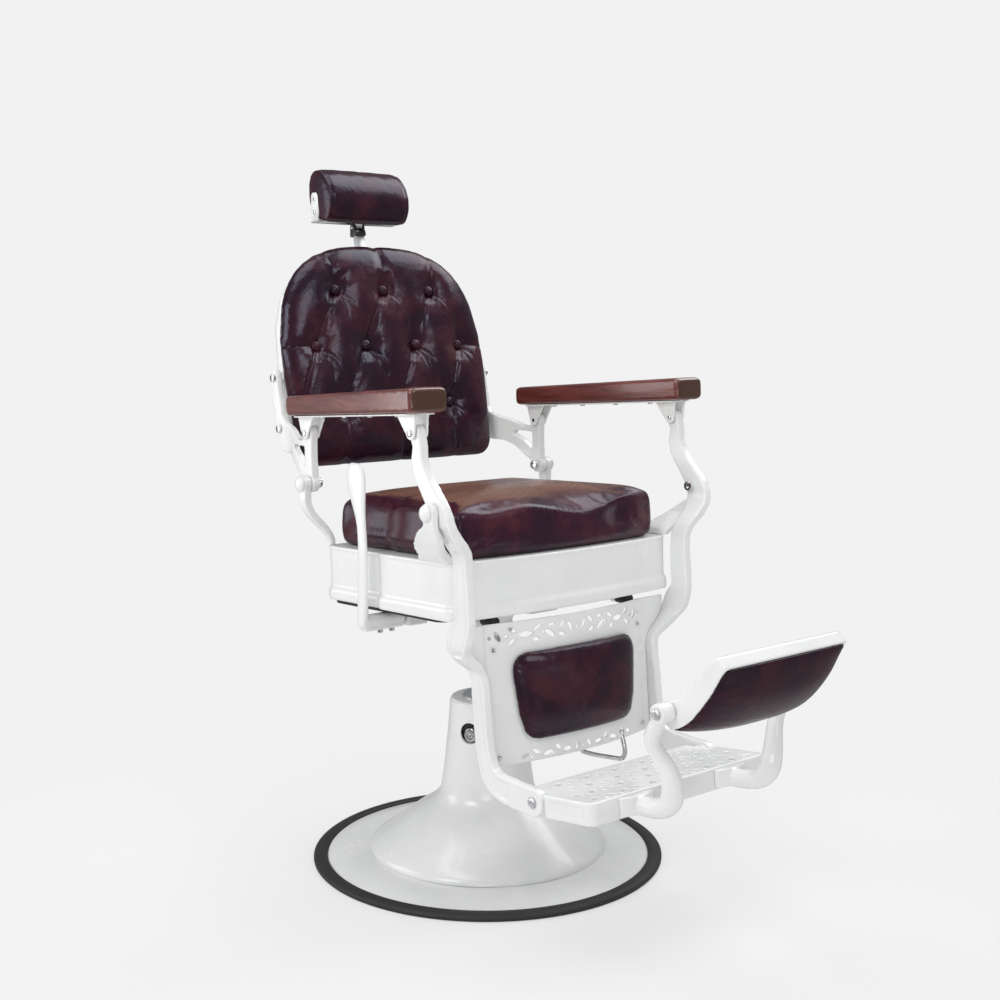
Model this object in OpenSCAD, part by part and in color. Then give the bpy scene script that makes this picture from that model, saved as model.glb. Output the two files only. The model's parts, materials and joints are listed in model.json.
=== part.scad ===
// Hydraulic barber chair: cast frame, linked reclining back, padded seat, turn-over leg pad.
// Millimetres, +Z up. The sitter faces -Y, so the sitter's right hand is at -X.
// The origin is on the floor, on the axis of the lift column.

/* [Base] */
// Diameter over the rubber floor ring
base_d = 680; // [640:5:720]
// Radial width of the rubber ring that shows
ring_w = 26; // [18:1:34]
// Height of the rubber ring at its inner lip
ring_h = 12; // [9:0.5:15]
// Thickness of the floor disc at its rim
disc_t = 7; // [5:0.5:9]
// Rise of the floor disc from its rim to the foot of the pedestal
disc_rise = 9; // [6:0.5:14]
// Diameter of the pedestal's foot
pedestal_foot_d = 458; // [420:2:500]
// Diameter of the pedestal at its top
pedestal_top_d = 146; // [140:1:152]
// Height of the pedestal's top above the floor
pedestal_h = 315; // [300:1:325]
// Wall of the pedestal casting
pedestal_wall = 6; // [4:0.5:8]
// Height of the round recess for the socket screw in the pedestal's side
screw_z = 258; // [245:1:270]
// Bearing of the recess, anticlockwise from +X
screw_bearing = 203; // [180:1:220]
// Radius of the recess
recess_r = 20; // [16:0.5:22]

/* [Lift] */
// Diameter of the lift ram
ram_d = 56; // [50:1:60]
// Bore of the oil cylinder
cylinder_bore = 84; // [76:1:88]
// Wall of the oil cylinder
cylinder_wall = 6; // [4:0.5:8]
// Diameter of the steel gland collar on top of the pedestal
gland_d = 100; // [92:1:104]
// Height of the gland collar above the pedestal's top
gland_h = 5; // [4:0.5:8]
// Height of the ram's top
ram_top_z = 488; // [484:1:492]
// Travel downwards from the drawn height
lift_down = 100; // [60:5:105]
// Travel upwards from the drawn height
lift_up = 65; // [40:5:70]
// Radial clearance of every running fit
fit = 0.05; // [0.02:0.01:0.09]

/* [Seat frame] */
// Backward tilt of the seat, in degrees
seat_tilt = 2.3; // [1.5:0.1:3]
// Height of the apron's lower edge on the lift axis
seat_z = 521; // [518:1:524]
// Half width of the apron
apron_half_w = 262; // [259:1:265]
// Distance of the apron's front from the lift axis
apron_front = 250; // [246:1:252]
// Distance of the apron's rear from the lift axis
apron_rear = 172; // [168:1:176]
// Bow of the apron's front
apron_bow = 20; // [12:1:26]
// Height of the apron
apron_h = 101; // [98:1:104]
// Wall of the apron
apron_wall = 7; // [5:0.5:9]
// Height of the moulding round the apron's lower edge
bead_h = 26; // [20:1:32]
// How far the moulding stands out
bead_out = 5; // [3:0.5:6]
// Depth of the black base plate's edge
plate_h = 9; // [7:0.5:11]
// Half width of the base plate
plate_half_w = 247; // [244:1:249]

/* [Seat cushion] */
// Height of the cushion at its rolled edge
seat_pad_edge = 87; // [76:1:94]
// Further rise of the cushion to its crown
seat_pad_crown = 21; // [14:1:28]
// How far the cushion's foot lies inside the apron's face
seat_pad_inset = 20; // [17:1:22]
// Width of the cushion as a share of the apron's width
seat_pad_share = 0.945; // [0.92:0.005:1]
// Width of the ledge that carries the cushion, inside the apron's lip
ledge_w = 34; // [24:1:44]

/* [Linkage] */
// Front pivot of the leg frame, distance in front of the lift axis
front_pivot_y = 246; // [243:1:249]
// Height of the front pivot
front_pivot_z = 724.5; // [722:0.5:728]
// Rear pivot of the back, distance behind the lift axis
rear_pivot_y = 172; // [169:1:175]
// Height of the rear pivot
rear_pivot_z = 735; // [732:0.5:738]
// Front arm pin, distance in front of the lift axis
arm_front_y = 193; // [191:0.5:195]
// Height of the front arm pin
arm_front_z = 852; // [850:0.5:854]
// Rear arm pin, distance behind the lift axis
arm_rear_y = 175; // [173:0.5:177]
// Height of the rear arm pin
arm_rear_z = 829; // [827:0.5:831]
// Thickness of the crank castings
casting_t = 17; // [14:0.5:18]
// Outer face of the cranks at the front pivot, from the middle of the chair
crank_out = 317.5; // [316:0.5:319]
// Outer face of the cranks beside the apron
crank_mid = 271; // [270:0.5:275]
// Outer face of the cranks below the scroll
crank_low = 216; // [212:1:220]
// Diameter of the pivot bolts
bolt_d = 10; // [8:0.5:12]
// Diameter of the arm pins
arm_pin_d = 8; // [6:0.5:9]
// Extra radius of the bore at the front arm pin, which takes up the linkage's swing
open_pivot_play = 1.5; // [1.3:0.1:2]
// Diameter of the domed caps on the pivot bolts
dome_d = 28; // [24:1:32]
// Thickness of the fixed posts
post_t = 13; // [10:0.5:15]

/* [Arms] */
// Width of the wooden arm rests
arm_w = 75; // [60:1:80]
// Thickness of an arm rest at its front
arm_t_front = 43; // [33:1:46]
// Thickness of an arm rest at its rear
arm_t_rear = 38; // [30:1:40]
// Arm rest in front of the front arm pin
arm_overhang_front = 41; // [28:1:44]
// Arm rest behind the rear arm pin
arm_overhang_rear = 35; // [26:1:38]
// Height of the arm plate's underside above the arm pins
arm_seat_h = 33; // [31:0.5:36]
// Thickness of the arm plate
arm_plate_t = 3; // [2:0.5:4]
// Thickness of a clevis ear
ear_t = 4.5; // [3.5:0.5:5]
// Gap between a clevis ear and the casting in it
ear_gap = 2; // [1.5:0.1:2.5]

/* [Back] */
// Backward lean of the back, in degrees
back_lean = 12.5; // [11:0.5:14]
// Distance of the back's lower front edge behind the lift axis
back_y = 279; // [277:1:283]
// Height of the back's lower edge
back_z = 752; // [750:1:756]
// Height of the back along its slope
back_h = 447; // [435:1:460]
// Half width of the back at its widest
back_half_w = 251; // [248:1:256]
// Height of the widest place along the slope
back_wide_at = 180; // [170:1:190]
// Radius of the back's lower corners
back_corner_r = 38; // [30:1:46]
// Depth of the white shell behind the cushion
shell_d = 42; // [38:1:46]
// Wall of the shell
shell_wall = 3.5; // [2.5:0.5:5]
// How far the shell's edge lies inside the cushion's
shell_inset = 9; // [8:0.5:12]
// Depth of the back cushion in front of its rim
back_pad_crown = 33; // [26:1:38]
// Diameter of the covered buttons
button_d = 17; // [14:1:20]
// Depth of the tufts at the buttons
tuft_depth = 17; // [12:1:20]
// Outer face of the bracket castings at the rear pivots
bracket_out = 291; // [289:0.5:291.5]
// Thickness of the bracket castings
bracket_t = 16; // [13:0.5:17]

/* [Headrest] */
// Width of the headrest cushion
headrest_w = 205; // [180:1:215]
// Width of the flat chrome bar
bar_w = 24; // [20:1:28]
// Thickness of the flat chrome bar
bar_t = 6; // [5:0.5:8]
// Length of the bar inside the back
bar_in = 150; // [120:5:170]
// Depth of the bar's middle behind the cushion's rim
bar_depth = 41; // [36:1:41]
// Height of the bar's top above the back's top, along the slope
bar_out = 34; // [30:1:40]

/* [Leg frame] */
// Distance of the step bolts in front of the lift axis
step_bolt_y = 378; // [374:1:382]
// Height of the step bolts
step_bolt_z = 246; // [243:1:249]
// Height of the kick panel's top edge
panel_top_z = 519; // [516:1:525]
// Height of the kick panel's bottom edge
panel_bottom_z = 270; // [266:1:276]
// Forward lean of the kick panel, in degrees
panel_lean = 5.2; // [4:0.1:6]
// Distance of the kick panel's top edge in front of the lift axis
panel_front = 252; // [250:1:256]
// Radius of the kick panel's bulge
panel_r = 585; // [560:5:620]
// Thickness of the kick panel
panel_t = 4; // [3:0.5:5]
// Width of the kick cushion
kick_w = 294; // [280:2:306]
// Height of the kick cushion
kick_h = 157; // [150:1:170]
// Height of the kick cushion's middle
kick_z = 386; // [383:1:389]
// Depth of the kick cushion
kick_d = 27; // [20:1:32]
// Diameter of the chrome pull loop's rod
loop_d = 9; // [7:0.5:10]

/* [Step] */
// Upward tilt of the step towards its front, in degrees
step_tilt = 7.1; // [6:0.1:8]
// Half width of the step's wide part
step_half_w = 213; // [210:0.5:215]
// Length of the step in front of its bolts
step_front = 140; // [134:1:146]
// Length of the step behind its bolts
step_rear = 36; // [32:1:40]
// Height of the step's top above its bolts
step_top = 16; // [14:0.5:18]
// Depth of the step's frame
step_h = 38; // [34:1:40]
// Thickness of the pierced tread
tread_t = 5; // [4:0.5:6]
// Wall of the step's frame
step_wall = 6; // [5:0.5:8]
// Distance of the rest arms' feet from the middle
rest_foot_x = 114; // [110:1:118]
// Width of the rest arms' feet
rest_foot_w = 78; // [70:1:84]

/* [Leg pad] */
// Distance of the pad's pivot in front of the lift axis
pad_pivot_y = 618; // [614:1:622]
// Height of the pad's pivot
pad_pivot_z = 440; // [437:1:443]
// Direction of the pad, anticlockwise from +Y, seen from +X, in degrees
pad_angle = 132; // [128:1:136]
// Half width of the pad
pad_half_w = 145; // [138:1:148]
// Length of the pad beyond its pivot
pad_len = 140; // [130:1:150]
// Wall of the pad's tray
pad_wall = 5; // [4:0.5:6]
// Rise of the pad's leather above its tray
pad_crown = 30; // [22:1:34]
// Diameter of the rest arms' bosses
boss_d = 32; // [28:1:34]
// Gap between a boss and the pad's tray
boss_gap = 1; // [0.5:0.1:2]

/* [Hand lever] */
// Distance of the lever's pivot behind the lift axis
lever_y = 12; // [8:1:16]
// Height of the lever's pivot
lever_z = 496; // [494:1:498]
// Length of the lever above its pivot
lever_len = 290; // [270:2:300]
// Distance of the lever's middle from the middle of the chair
lever_x = 282; // [280:0.5:284]
// Width of the lever's paddle
paddle_w = 58; // [50:1:62]
// Thickness of the lever's paddle
paddle_t = 11; // [9:0.5:12]
// Diameter of the lever's shaft
shaft_d = 16; // [14:1:18]

/* [Hidden] */
$fn = 48;

// Sliver that keeps cuts from sharing a face
eps = 0.5;
// Gap between a soft piece and what it lies on
seat_gap = 0.3;

enamel = [0.93, 0.94, 0.93];
oxblood = [0.33, 0.10, 0.11];
timber = [0.45, 0.17, 0.09];
black = [0.08, 0.08, 0.08];
bright = [0.78, 0.79, 0.80];

// ---- Shapes worked out from points ----

// Place at t between b and c on a smooth curve through a, b, c and d
function between(a, b, c, d, t) =
  0.5 * (2 * b + (c - a) * t + (2 * a - 5 * b + 4 * c - d) * t * t + (3 * b - a - 3 * c + d) * t * t * t);

// Smooth curve through the points p, with n steps from each point to the next
function smooth(p, n) = [
  for (i = [0 : len(p) - 2], k = [0 : n - 1])
    between(p[max(i - 1, 0)], p[i], p[i + 1], p[min(i + 2, len(p) - 1)], k / n),
  p[len(p) - 1]
];

// One side of a strip whose middle runs through [a, b, width] stations
function strip_side(stations, n, side) =
  let (c = smooth(stations, n), m = len(c) - 1)
  [for (i = [0 : m])
    let (d = c[min(i + 1, m)] - c[max(i - 1, 0)], l = norm([d[0], d[1]]))
    [c[i][0] - side * d[1] / l * c[i][2] / 2, c[i][1] + side * d[0] / l * c[i][2] / 2]];

function turned_round(p) = [for (i = [len(p) - 1 : -1 : 0]) p[i]];

// Outline of the strip
function strip(stations, n) = concat(strip_side(stations, n, 1), turned_round(strip_side(stations, n, -1)));

// The same stations, wider or narrower by w
function widened(stations, w) = [for (s = stations) [s[0], s[1], s[2] + w]];

// Arc about (x, y) from angle a0 to a1, in n steps
function arc(x, y, r, a0, a1, n) = [
  for (i = [0 : n]) let (a = a0 + (a1 - a0) * i / n) [x + r * cos(a), y + r * sin(a)]];

function mirrored(p) = turned_round([for (q = p) [-q[0], q[1]]]);

function middle(ring) = [for (k = [0 : 2]) ([for (p = ring) p[k]] * [for (p = ring) 1]) / len(ring)];

function unit(v) = v / norm(v);

// Ring of diameter w about c, square to the direction d
function ring_at(c, d, w) =
  let (e = unit(cross([1, 0, 0], d)), f = unit(cross(d, e)))
  [for (a = [0 : 36 : 324]) c + w / 2 * (e * cos(a) + f * sin(a))];

// Closed solid through rings of equal length, which run anticlockwise seen from the last ring
module skin(rings) {
  n = len(rings[0]);
  m = len(rings);
  polyhedron(
    concat([for (r = rings) each r], [middle(rings[0]), middle(rings[m - 1])]),
    concat(
      [for (j = [0 : m - 2], i = [0 : n - 1])
        let (a = j * n, b = a + n, k = (i + 1) % n) [a + i, b + i, b + k, a + k]],
      [for (i = [0 : n - 1]) [m * n, i, (i + 1) % n]],
      [for (i = [0 : n - 1]) [m * n + 1, (m - 1) * n + (i + 1) % n, (m - 1) * n + i]]
    )
  );
}

// Places in a grid of nx + 1 by ny + 1 points that lie on its rim, anticlockwise from the first
function rim_of(nx, ny) = concat(
  [for (i = [0 : nx]) i],
  [for (j = [1 : ny]) j * (nx + 1) + nx],
  [for (i = [nx - 1 : -1 : 0]) ny * (nx + 1) + i],
  [for (j = [ny - 1 : -1 : 1]) j * (nx + 1)]
);

// Cushion: grid holds rows of points seen from the front, and each ring goes on behind the rim
module cushion(grid, rings) {
  nx = len(grid[0]) - 1;
  ny = len(grid) - 1;
  rim = rim_of(nx, ny);
  n = len(rim);
  g = (nx + 1) * (ny + 1);
  last = g + (len(rings) - 1) * n;
  polyhedron(
    concat([for (row = grid) each row], [for (r = rings) each r], [middle(rings[len(rings) - 1])]),
    concat(
      [for (j = [0 : ny - 1], i = [0 : nx - 1])
        let (a = j * (nx + 1) + i) [a, a + nx + 1, a + nx + 2, a + 1]],
      [for (i = [0 : n - 1]) let (k = (i + 1) % n) [g + i, rim[i], rim[k], g + k]],
      [for (j = [1 : 1 : len(rings) - 1], i = [0 : n - 1])
        let (k = (i + 1) % n, a = g + j * n) [a + i, a - n + i, a - n + k, a + k]],
      [for (i = [0 : n - 1]) [g + len(rings) * n, last + i, last + (i + 1) % n]]
    )
  );
}

// Pointed leaf for pierced work
module leaf(l, w) {
  polygon(concat(
    [for (i = [0 : 5]) [l * (i / 6 - 0.5), -w / 2 * sin(180 * i / 6)]],
    [for (i = [0 : 5]) [l * (0.5 - i / 6), w / 2 * sin(180 * i / 6)]]
  ));
}

// Outline in Y and Z, extruded from X = x0 to x1
module along_x(x0, x1) {
  translate([x0, 0, 0]) rotate([90, 0, 90]) linear_extrude(x1 - x0) children();
}

// Outline in X and Z, extruded from Y = y0 to y1
module along_y(y0, y1) {
  translate([0, y1, 0]) rotate([90, 0, 0]) linear_extrude(y1 - y0) children();
}

// Round bar along X
module bar_x(x0, x1, d, y, z) {
  translate([x0, y, z]) rotate([0, 90, 0]) cylinder(h = x1 - x0, d = d);
}

module other_side() {
  mirror([1, 0, 0]) children();
}

module both_sides() {
  children();
  mirror([1, 0, 0]) children();
}

module in_seat() {
  translate([0, 0, seat_z]) rotate([-seat_tilt, 0, 0]) children();
}

module in_back() {
  translate([0, back_y, back_z]) rotate([-back_lean, 0, 0]) children();
}

module in_step() {
  translate([0, -step_bolt_y, step_bolt_z]) rotate([-step_tilt, 0, 0]) children();
}

module in_pad() {
  translate([0, -pad_pivot_y, pad_pivot_z]) rotate([pad_angle, 0, 0]) children();
}

// ---- Base ----

ring_in = base_d / 2 - ring_w;
ring_lip = 3;
foot_z = ring_lip + disc_t + disc_rise;

module base_ring() color(black) rotate_extrude($fn = 96) polygon([
  [ring_in - 14, 0], [base_d / 2 - 3, 0], [base_d / 2, 3], [base_d / 2, ring_h - 4],
  [base_d / 2 - 4, ring_h - 1],
  [base_d / 2 - 12, ring_h + 1], [ring_in + 3, ring_h + 1], [ring_in, ring_h - 1], [ring_in, ring_lip],
  [ring_in - 14, ring_lip]
]);

module base_disc() color(enamel) rotate_extrude($fn = 96) polygon([
  [60, foot_z - disc_t], [pedestal_foot_d / 2 - 20, foot_z - disc_t], [ring_in - 12, ring_lip],
  [ring_in - 0.3, ring_lip],
  [ring_in - 0.3, ring_lip + disc_t - 3], [ring_in - 3, ring_lip + disc_t],
  [(ring_in + pedestal_foot_d / 2) / 2, foot_z - 2], [pedestal_foot_d / 2, foot_z], [60, foot_z]
]);

// Outer curve of the pedestal, as [radius, height] from its foot to its top
foot_r = pedestal_foot_d / 2;
top_r = pedestal_top_d / 2;
bell = smooth([
  [foot_r, foot_z + 4], [foot_r - 5, foot_z + 12], [foot_r - 22, foot_z + 22], [foot_r - 49, foot_z + 43],
  [foot_r - 89, foot_z + 73], [foot_r - 114, foot_z + 89], [top_r + 23, foot_z + 107],
  [top_r + 17, foot_z + 126], [top_r + 11, foot_z + 167], [top_r + 7, foot_z + 207],
  [top_r + 3, foot_z + 247], [top_r, pedestal_h - 5]
], 2);
neck_r = 36;

recess_floor = top_r - 9;

module in_recess() {
  rotate([0, 0, screw_bearing]) translate([0, 0, screw_z]) rotate([0, 90, 0]) children();
}

module pedestal() color(enamel) difference() {
  union() {
    pedestal_wall_body();
    in_recess() translate([0, 0, recess_floor - 8]) cylinder(h = 14, r = recess_r + 5);
  }
  in_recess() {
    translate([screw_drop, 0, 0]) cylinder(h = 120, r = 5);
    translate([0, 0, recess_floor]) cylinder(h = 40, r = recess_r);
  }
}

module pedestal_wall_body() {
  rotate_extrude($fn = 96) polygon(concat(
    [[foot_r, foot_z]], bell, [[top_r - 4, pedestal_h], [neck_r, pedestal_h], [neck_r, pedestal_h - 12]],
    [[top_r - pedestal_wall - 2, pedestal_h - 12]],
    turned_round([for (p = bell) if (p[1] < pedestal_h - 12 && p[1] > foot_z + 10)
      p - [pedestal_wall, pedestal_wall / 2]]),
    [[foot_r - 14, foot_z]]
  ));
}

// Set screw with a broad round head that lies in the lower part of the recess
screw_drop = 5;
head_r = recess_r - screw_drop - 0.5;

module pedestal_screw() color(bright) in_recess() translate([screw_drop, 0, 0]) difference() {
  union() {
    translate([0, 0, cylinder_out + 1]) cylinder(h = recess_floor - cylinder_out, r = 4.9);
    translate([0, 0, recess_floor]) cylinder(h = 6, r = head_r);
    translate([0, 0, recess_floor + 6]) cylinder(h = 2, r1 = head_r, r2 = head_r - 2);
  }
  translate([0, 0, recess_floor + 3]) cylinder(h = 6, r = 4.5, $fn = 6);
}

// The ram's head keeps mouth_spare below the cylinder's mouth when the chair is right up, and
// floor_spare above the cylinder's floor when it is right down
cylinder_out = cylinder_bore / 2 + cylinder_wall;
mouth_z = pedestal_h - 14;
mouth_spare = 31;
floor_spare = 59;
head_h = 26;
ram_foot_z = mouth_z - mouth_spare - lift_up;
cylinder_floor = ram_foot_z - head_h - lift_down - floor_spare;

module pump_cylinder() color(bright) rotate_extrude() polygon([
  [0, 0], [60, 0], [60, 4], [100, foot_z - disc_t - 4], [100, foot_z - disc_t],
  [cylinder_out, foot_z - disc_t], [cylinder_out, mouth_z], [cylinder_bore / 2, mouth_z],
  [cylinder_bore / 2, cylinder_floor], [0, cylinder_floor]
]);

module gland_collar() color(bright) translate([0, 0, pedestal_h]) rotate_extrude() polygon([
  [ram_d / 2 + fit, 0], [gland_d / 2, 0], [gland_d / 2, gland_h - 2], [gland_d / 2 - 2, gland_h],
  [ram_d / 2 + fit, gland_h]
]);

// ---- Lift ----

module ram() color(bright) translate([0, 0, ram_foot_z]) {
  cylinder(h = ram_top_z - ram_foot_z - 1, d = ram_d);
  translate([0, 0, ram_top_z - ram_foot_z - 1]) cylinder(h = 1, d = ram_d - 2);
}

module ram_head() color(bright) translate([0, 0, ram_foot_z - head_h]) rotate_extrude() polygon([
  [0, 0], [cylinder_bore / 2 - 3, 0], [cylinder_bore / 2 - fit, 3], [cylinder_bore / 2 - fit, head_h - 3],
  [cylinder_bore / 2 - 3, head_h], [0, head_h]
]);

module swivel_bearing() color(bright) translate([0, 0, ram_top_z]) cylinder(h = 3, d = ram_d - 4);

// ---- Seat frame ----

hub_z = 442;
hub_d = 96;

module saddle() color(enamel) difference() {
  union() {
    translate([0, 0, hub_z]) rotate_extrude() polygon([
      [0, 0], [hub_d / 2 - 2, 0], [hub_d / 2, 2], [hub_d / 2, 28], [hub_d / 2 + 10, 44], [hub_d / 2 + 30, 54],
      [hub_d / 2 + 30, 60], [0, 60]
    ]);
    in_seat() translate([0, 0, -plate_h - 14]) {
      cylinder(h = 14, r = hub_d / 2 + 42);
      translate([-35, -165, 0]) cube([70, 315, 14]);
      translate([-134, -35, 0]) cube([268, 70, 14]);
    }
  }
  translate([0, 0, hub_z - eps]) cylinder(h = ram_top_z + 3.3 - hub_z + eps, d = ram_d + 2 * fit);
  in_seat() translate([-300, -300, -plate_h]) cube([600, 600, 60]);
}

plate_front = 176;
plate_rear = apron_rear - 7;

plate_r = 22;
plate_corners = concat(
  arc(plate_half_w - plate_r, plate_r - plate_front, plate_r, -90, 0, 5),
  arc(plate_half_w - plate_r, plate_rear - plate_r, plate_r, 0, 90, 5)
);

module seat_base_plate() color(black)
  in_seat() translate([0, 0, -plate_h]) linear_extrude(plate_h) polygon(concat(
  plate_corners, mirrored(plate_corners)
));

// Apron seen from above, moved out by off: bowed front, round corners, a small step in each side
apron_front_r = 24;
apron_rear_r = 28;
apron_step = 6;
bow_x = apron_half_w - apron_front_r;
bow_r = (bow_x * bow_x + apron_bow * apron_bow) / (2 * apron_bow);
bow_y = bow_r - apron_front;
corner_y = bow_y - sqrt(pow(bow_r - apron_front_r, 2) - bow_x * bow_x);
corner_a = atan2(corner_y - bow_y, bow_x);
function apron_half(off) = concat(
  arc(0, bow_y, bow_r + off, -88.8, corner_a - 0.8, 3),
  arc(bow_x, corner_y, apron_front_r + off, corner_a, 0, 5),
  [for (i = [0 : 3]) let (t = i / 3) [apron_half_w + off - apron_step * t * t * (3 - 2 * t), 16 * t - 20]],
  arc(apron_half_w - apron_step - apron_rear_r, apron_rear - apron_rear_r, apron_rear_r + off, 0, 90, 5)
);
function apron_line(off) = concat(apron_half(off), mirrored(apron_half(off)));

// Section of the apron's wall: foot flange, moulding, plain face and top lip, as [off, height]
apron_section = [
  [-20, 0], [bead_out - 2, 0], [bead_out, 4], [bead_out, bead_h - 8], [bead_out - 2, bead_h - 4],
  [0, bead_h],
  [0, apron_h - 7], [1.5, apron_h - 4], [1.5, apron_h - 1], [0, apron_h], [-apron_wall, apron_h],
  [-apron_wall, 9], [-20, 6]
];

// Flat ledge inside the apron's lip that the cushion's board lies on
module cushion_ledge() translate([0, 0, apron_h - 5]) linear_extrude(5) difference() {
  polygon(apron_line(1 - apron_wall));
  polygon([for (q = apron_line(-apron_wall)) [
    q[0] * (1 - ledge_w / apron_half_w), pad_mid_y + (q[1] - pad_mid_y) * (1 - ledge_w / apron_half_w)]]);
}

module apron() color(enamel) in_seat() {
  cushion_ledge();
  rings = [for (p = apron_section) [for (q = apron_line(p[0])) [q[0], q[1], p[1]]]];
  n = len(rings[0]);
  m = len(rings);
  polyhedron([for (r = rings) each r], [for (j = [0 : m - 1], i = [0 : n - 1])
    let (a = j * n, b = (j + 1) % m * n, k = (i + 1) % n) [a + i, b + i, b + k, a + k]]);
}

// Levels of the seat cushion as [off, height above the apron], from its foot to its rolled edge
pad_levels = [
  [-seat_pad_inset, seat_gap], [-seat_pad_inset, 3], [-15, 9], [-11, 24], [-10, 46],
  [-11, seat_pad_edge - 15],
  [-14, seat_pad_edge - 5], [-20, seat_pad_edge]
];
function pad_line(off) = [for (q = apron_line(off)) [seat_pad_share * q[0], q[1]]];
pad_mid_y = (apron_rear - apron_front) / 2;

module seat_cushion() color(oxblood) in_seat() translate([0, 0, apron_h]) skin(concat(
  [for (p = pad_levels) [for (q = pad_line(p[0])) [q[0], q[1], p[1]]]],
  [for (k = [0.95, 0.86, 0.7, 0.48, 0.24]) [for (q = pad_line(-20))
    [k * q[0], pad_mid_y + k * (q[1] - pad_mid_y), seat_pad_edge + seat_pad_crown * (1 - pow(k, 2.4))]]]
));

// ---- Posts that carry the pivots ----

front_pivot = [-front_pivot_y, front_pivot_z];
rear_pivot = [rear_pivot_y, rear_pivot_z];
arm_front = [-arm_front_y, arm_front_z];
arm_rear = [arm_rear_y, arm_rear_z];
step_bolt = [-step_bolt_y, step_bolt_z];
post_in = crank_out + 0.8;
rim_x = apron_half_w - apron_wall / 2;

// Everything below the apron's top edge
module below_rim() {
  in_seat() translate([-400, -400, apron_h - 200]) cube([800, 800, 200]);
}

// Rear and front edges of the front post as [Y, Z] from the front pivot
front_post_rear = [
  [17, 2], [11, -16], [16, -24], [34, -34], [66, -61], [92, -83], [114, -97], [116, -130]
];
front_post_front = [
  [-17, 2], [-16, -24], [-16, -44], [-1, -60], [15, -74], [24, -90], [26, -130]
];
function post_edge(p) = smooth([for (q = p) front_pivot + q], 2);

module front_post() color(enamel) difference() {
  union() {
    intersection() {
      along_x(200, 360) polygon(concat(
        post_edge(front_post_rear),
        turned_round(post_edge(front_post_front))
      ));
      along_y(-400, 0) polygon(strip([
        [post_in + post_t / 2, front_pivot_z + 30, post_t], [post_in + post_t / 2, front_pivot_z - 16, post_t],
        [post_in, front_pivot_z - 36, post_t], [post_in - 14, front_pivot_z - 58, post_t],
        [post_in - 36, front_pivot_z - 75, post_t], [rim_x + 5, front_pivot_z - 88, post_t],
        [rim_x - 2, front_pivot_z - 104, post_t], [rim_x - 3, front_pivot_z - 118, post_t]
      ], 2));
    }
    bar_x(post_in, post_in + post_t, 34, front_pivot[0], front_pivot[1]);
  }
  bar_x(post_in - 60, post_in + 60, bolt_d + 2 * fit, front_pivot[0], front_pivot[1]);
  below_rim();
}

function rear_edge(p) = smooth([for (q = p) rear_pivot + q], 2);

module rear_post() color(enamel) difference() {
  union() {
    intersection() {
      along_x(180, 340) polygon(concat(
        rear_edge([[13, 2], [12, -30], [6, -60], [-1, -96], [-1, -135]]),
        turned_round(rear_edge([[-13, 2], [-12, -30], [-14, -60], [-13, -96], [-12, -135]]))
      ));
      along_y(0, 300) polygon(strip([
        [bracket_out + 9, rear_pivot_z + 30, 16], [bracket_out + 9, rear_pivot_z - 18, 16],
        [bracket_out + 8, rear_pivot_z - 38, 15], [bracket_out - 2, rear_pivot_z - 58, 14],
        [bracket_out - 20, rear_pivot_z - 77, 14], [bracket_out - 35, rear_pivot_z - 93, 13],
        [apron_half_w - 15, rear_pivot_z - 110, 12], [apron_half_w - 16, rear_pivot_z - 130, 12]
      ], 2));
    }
    bar_x(bracket_out + 1, bracket_out + 17, 30, rear_pivot[0], rear_pivot[1]);
  }
  bar_x(bracket_out - 40, bracket_out + 40, bolt_d + 2 * fit, rear_pivot[0], rear_pivot[1]);
  below_rim();
}

module right_front_post() other_side() front_post();
module left_front_post() front_post();
module right_rear_post() other_side() rear_post();
module left_rear_post() rear_post();

// Pivot bolt along X with a domed cap outside, its shank running in to x0
module capped_bolt(x0, x1, p) {
  bar_x(x0, x1, bolt_d, p[0], p[1]);
  translate([x1, p[0], p[1]]) rotate([0, 90, 0]) rotate_extrude() polygon(concat(
    [[0, 0], [dome_d / 2, 0], [dome_d / 2, 2]],
    [for (a = [15 : 15 : 90]) [dome_d / 2 * cos(a), 2 + 7 * sin(a)]]
  ));
}

module front_pivot_bolts() color(enamel) both_sides() {
  capped_bolt(crank_out - casting_t - 3, post_in + post_t + 0.5, front_pivot);
  bar_x(crank_out - casting_t - 6, crank_out - casting_t - 1, bolt_d + 6, front_pivot[0], front_pivot[1]);
}

module rear_pivot_bolts() color(enamel) both_sides() {
  capped_bolt(bracket_out - bracket_t - 3, bracket_out + 17.5, rear_pivot);
  bar_x(bracket_out - bracket_t - 6, bracket_out - bracket_t - 1, bolt_d + 6, rear_pivot[0], rear_pivot[1]);
}

// Buffers that the kick panel closes against
stop_x = 164;
stop_z = seat_z - 4;
stop_y = 190;
stop_d = 20;
stop_side = stop_x + stop_d / 2;
stop_end = panel_front - stop_side * stop_side / (2 * panel_r) - panel_t - 1;

module stop_barrels() color(bright) both_sides() translate([stop_x, -stop_y, stop_z])
  rotate([-90, 0, 0]) cylinder(h = stop_y - plate_front - 0.3, d = stop_d);

module stop_rubbers() color(black) both_sides() translate([stop_x, -stop_end, stop_z])
  rotate([-90, 0, 0]) cylinder(h = stop_end - stop_y, d = stop_d);

// ---- Hand lever ----

bearing_x = [150, 192];

module lever_bearing() color(enamel) difference() {
  in_seat() translate([-bearing_x[1], lever_y - 18, -42])
    cube([bearing_x[1] - bearing_x[0], 36, 42 - plate_h]);
  bar_x(-bearing_x[1] - eps, -bearing_x[0] + eps, shaft_d + 2 * fit, lever_y, lever_z);
}

module lever_shaft() color(bright) bar_x(-lever_x + 8, -bearing_x[0] + 12, shaft_d, lever_y, lever_z);

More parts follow.
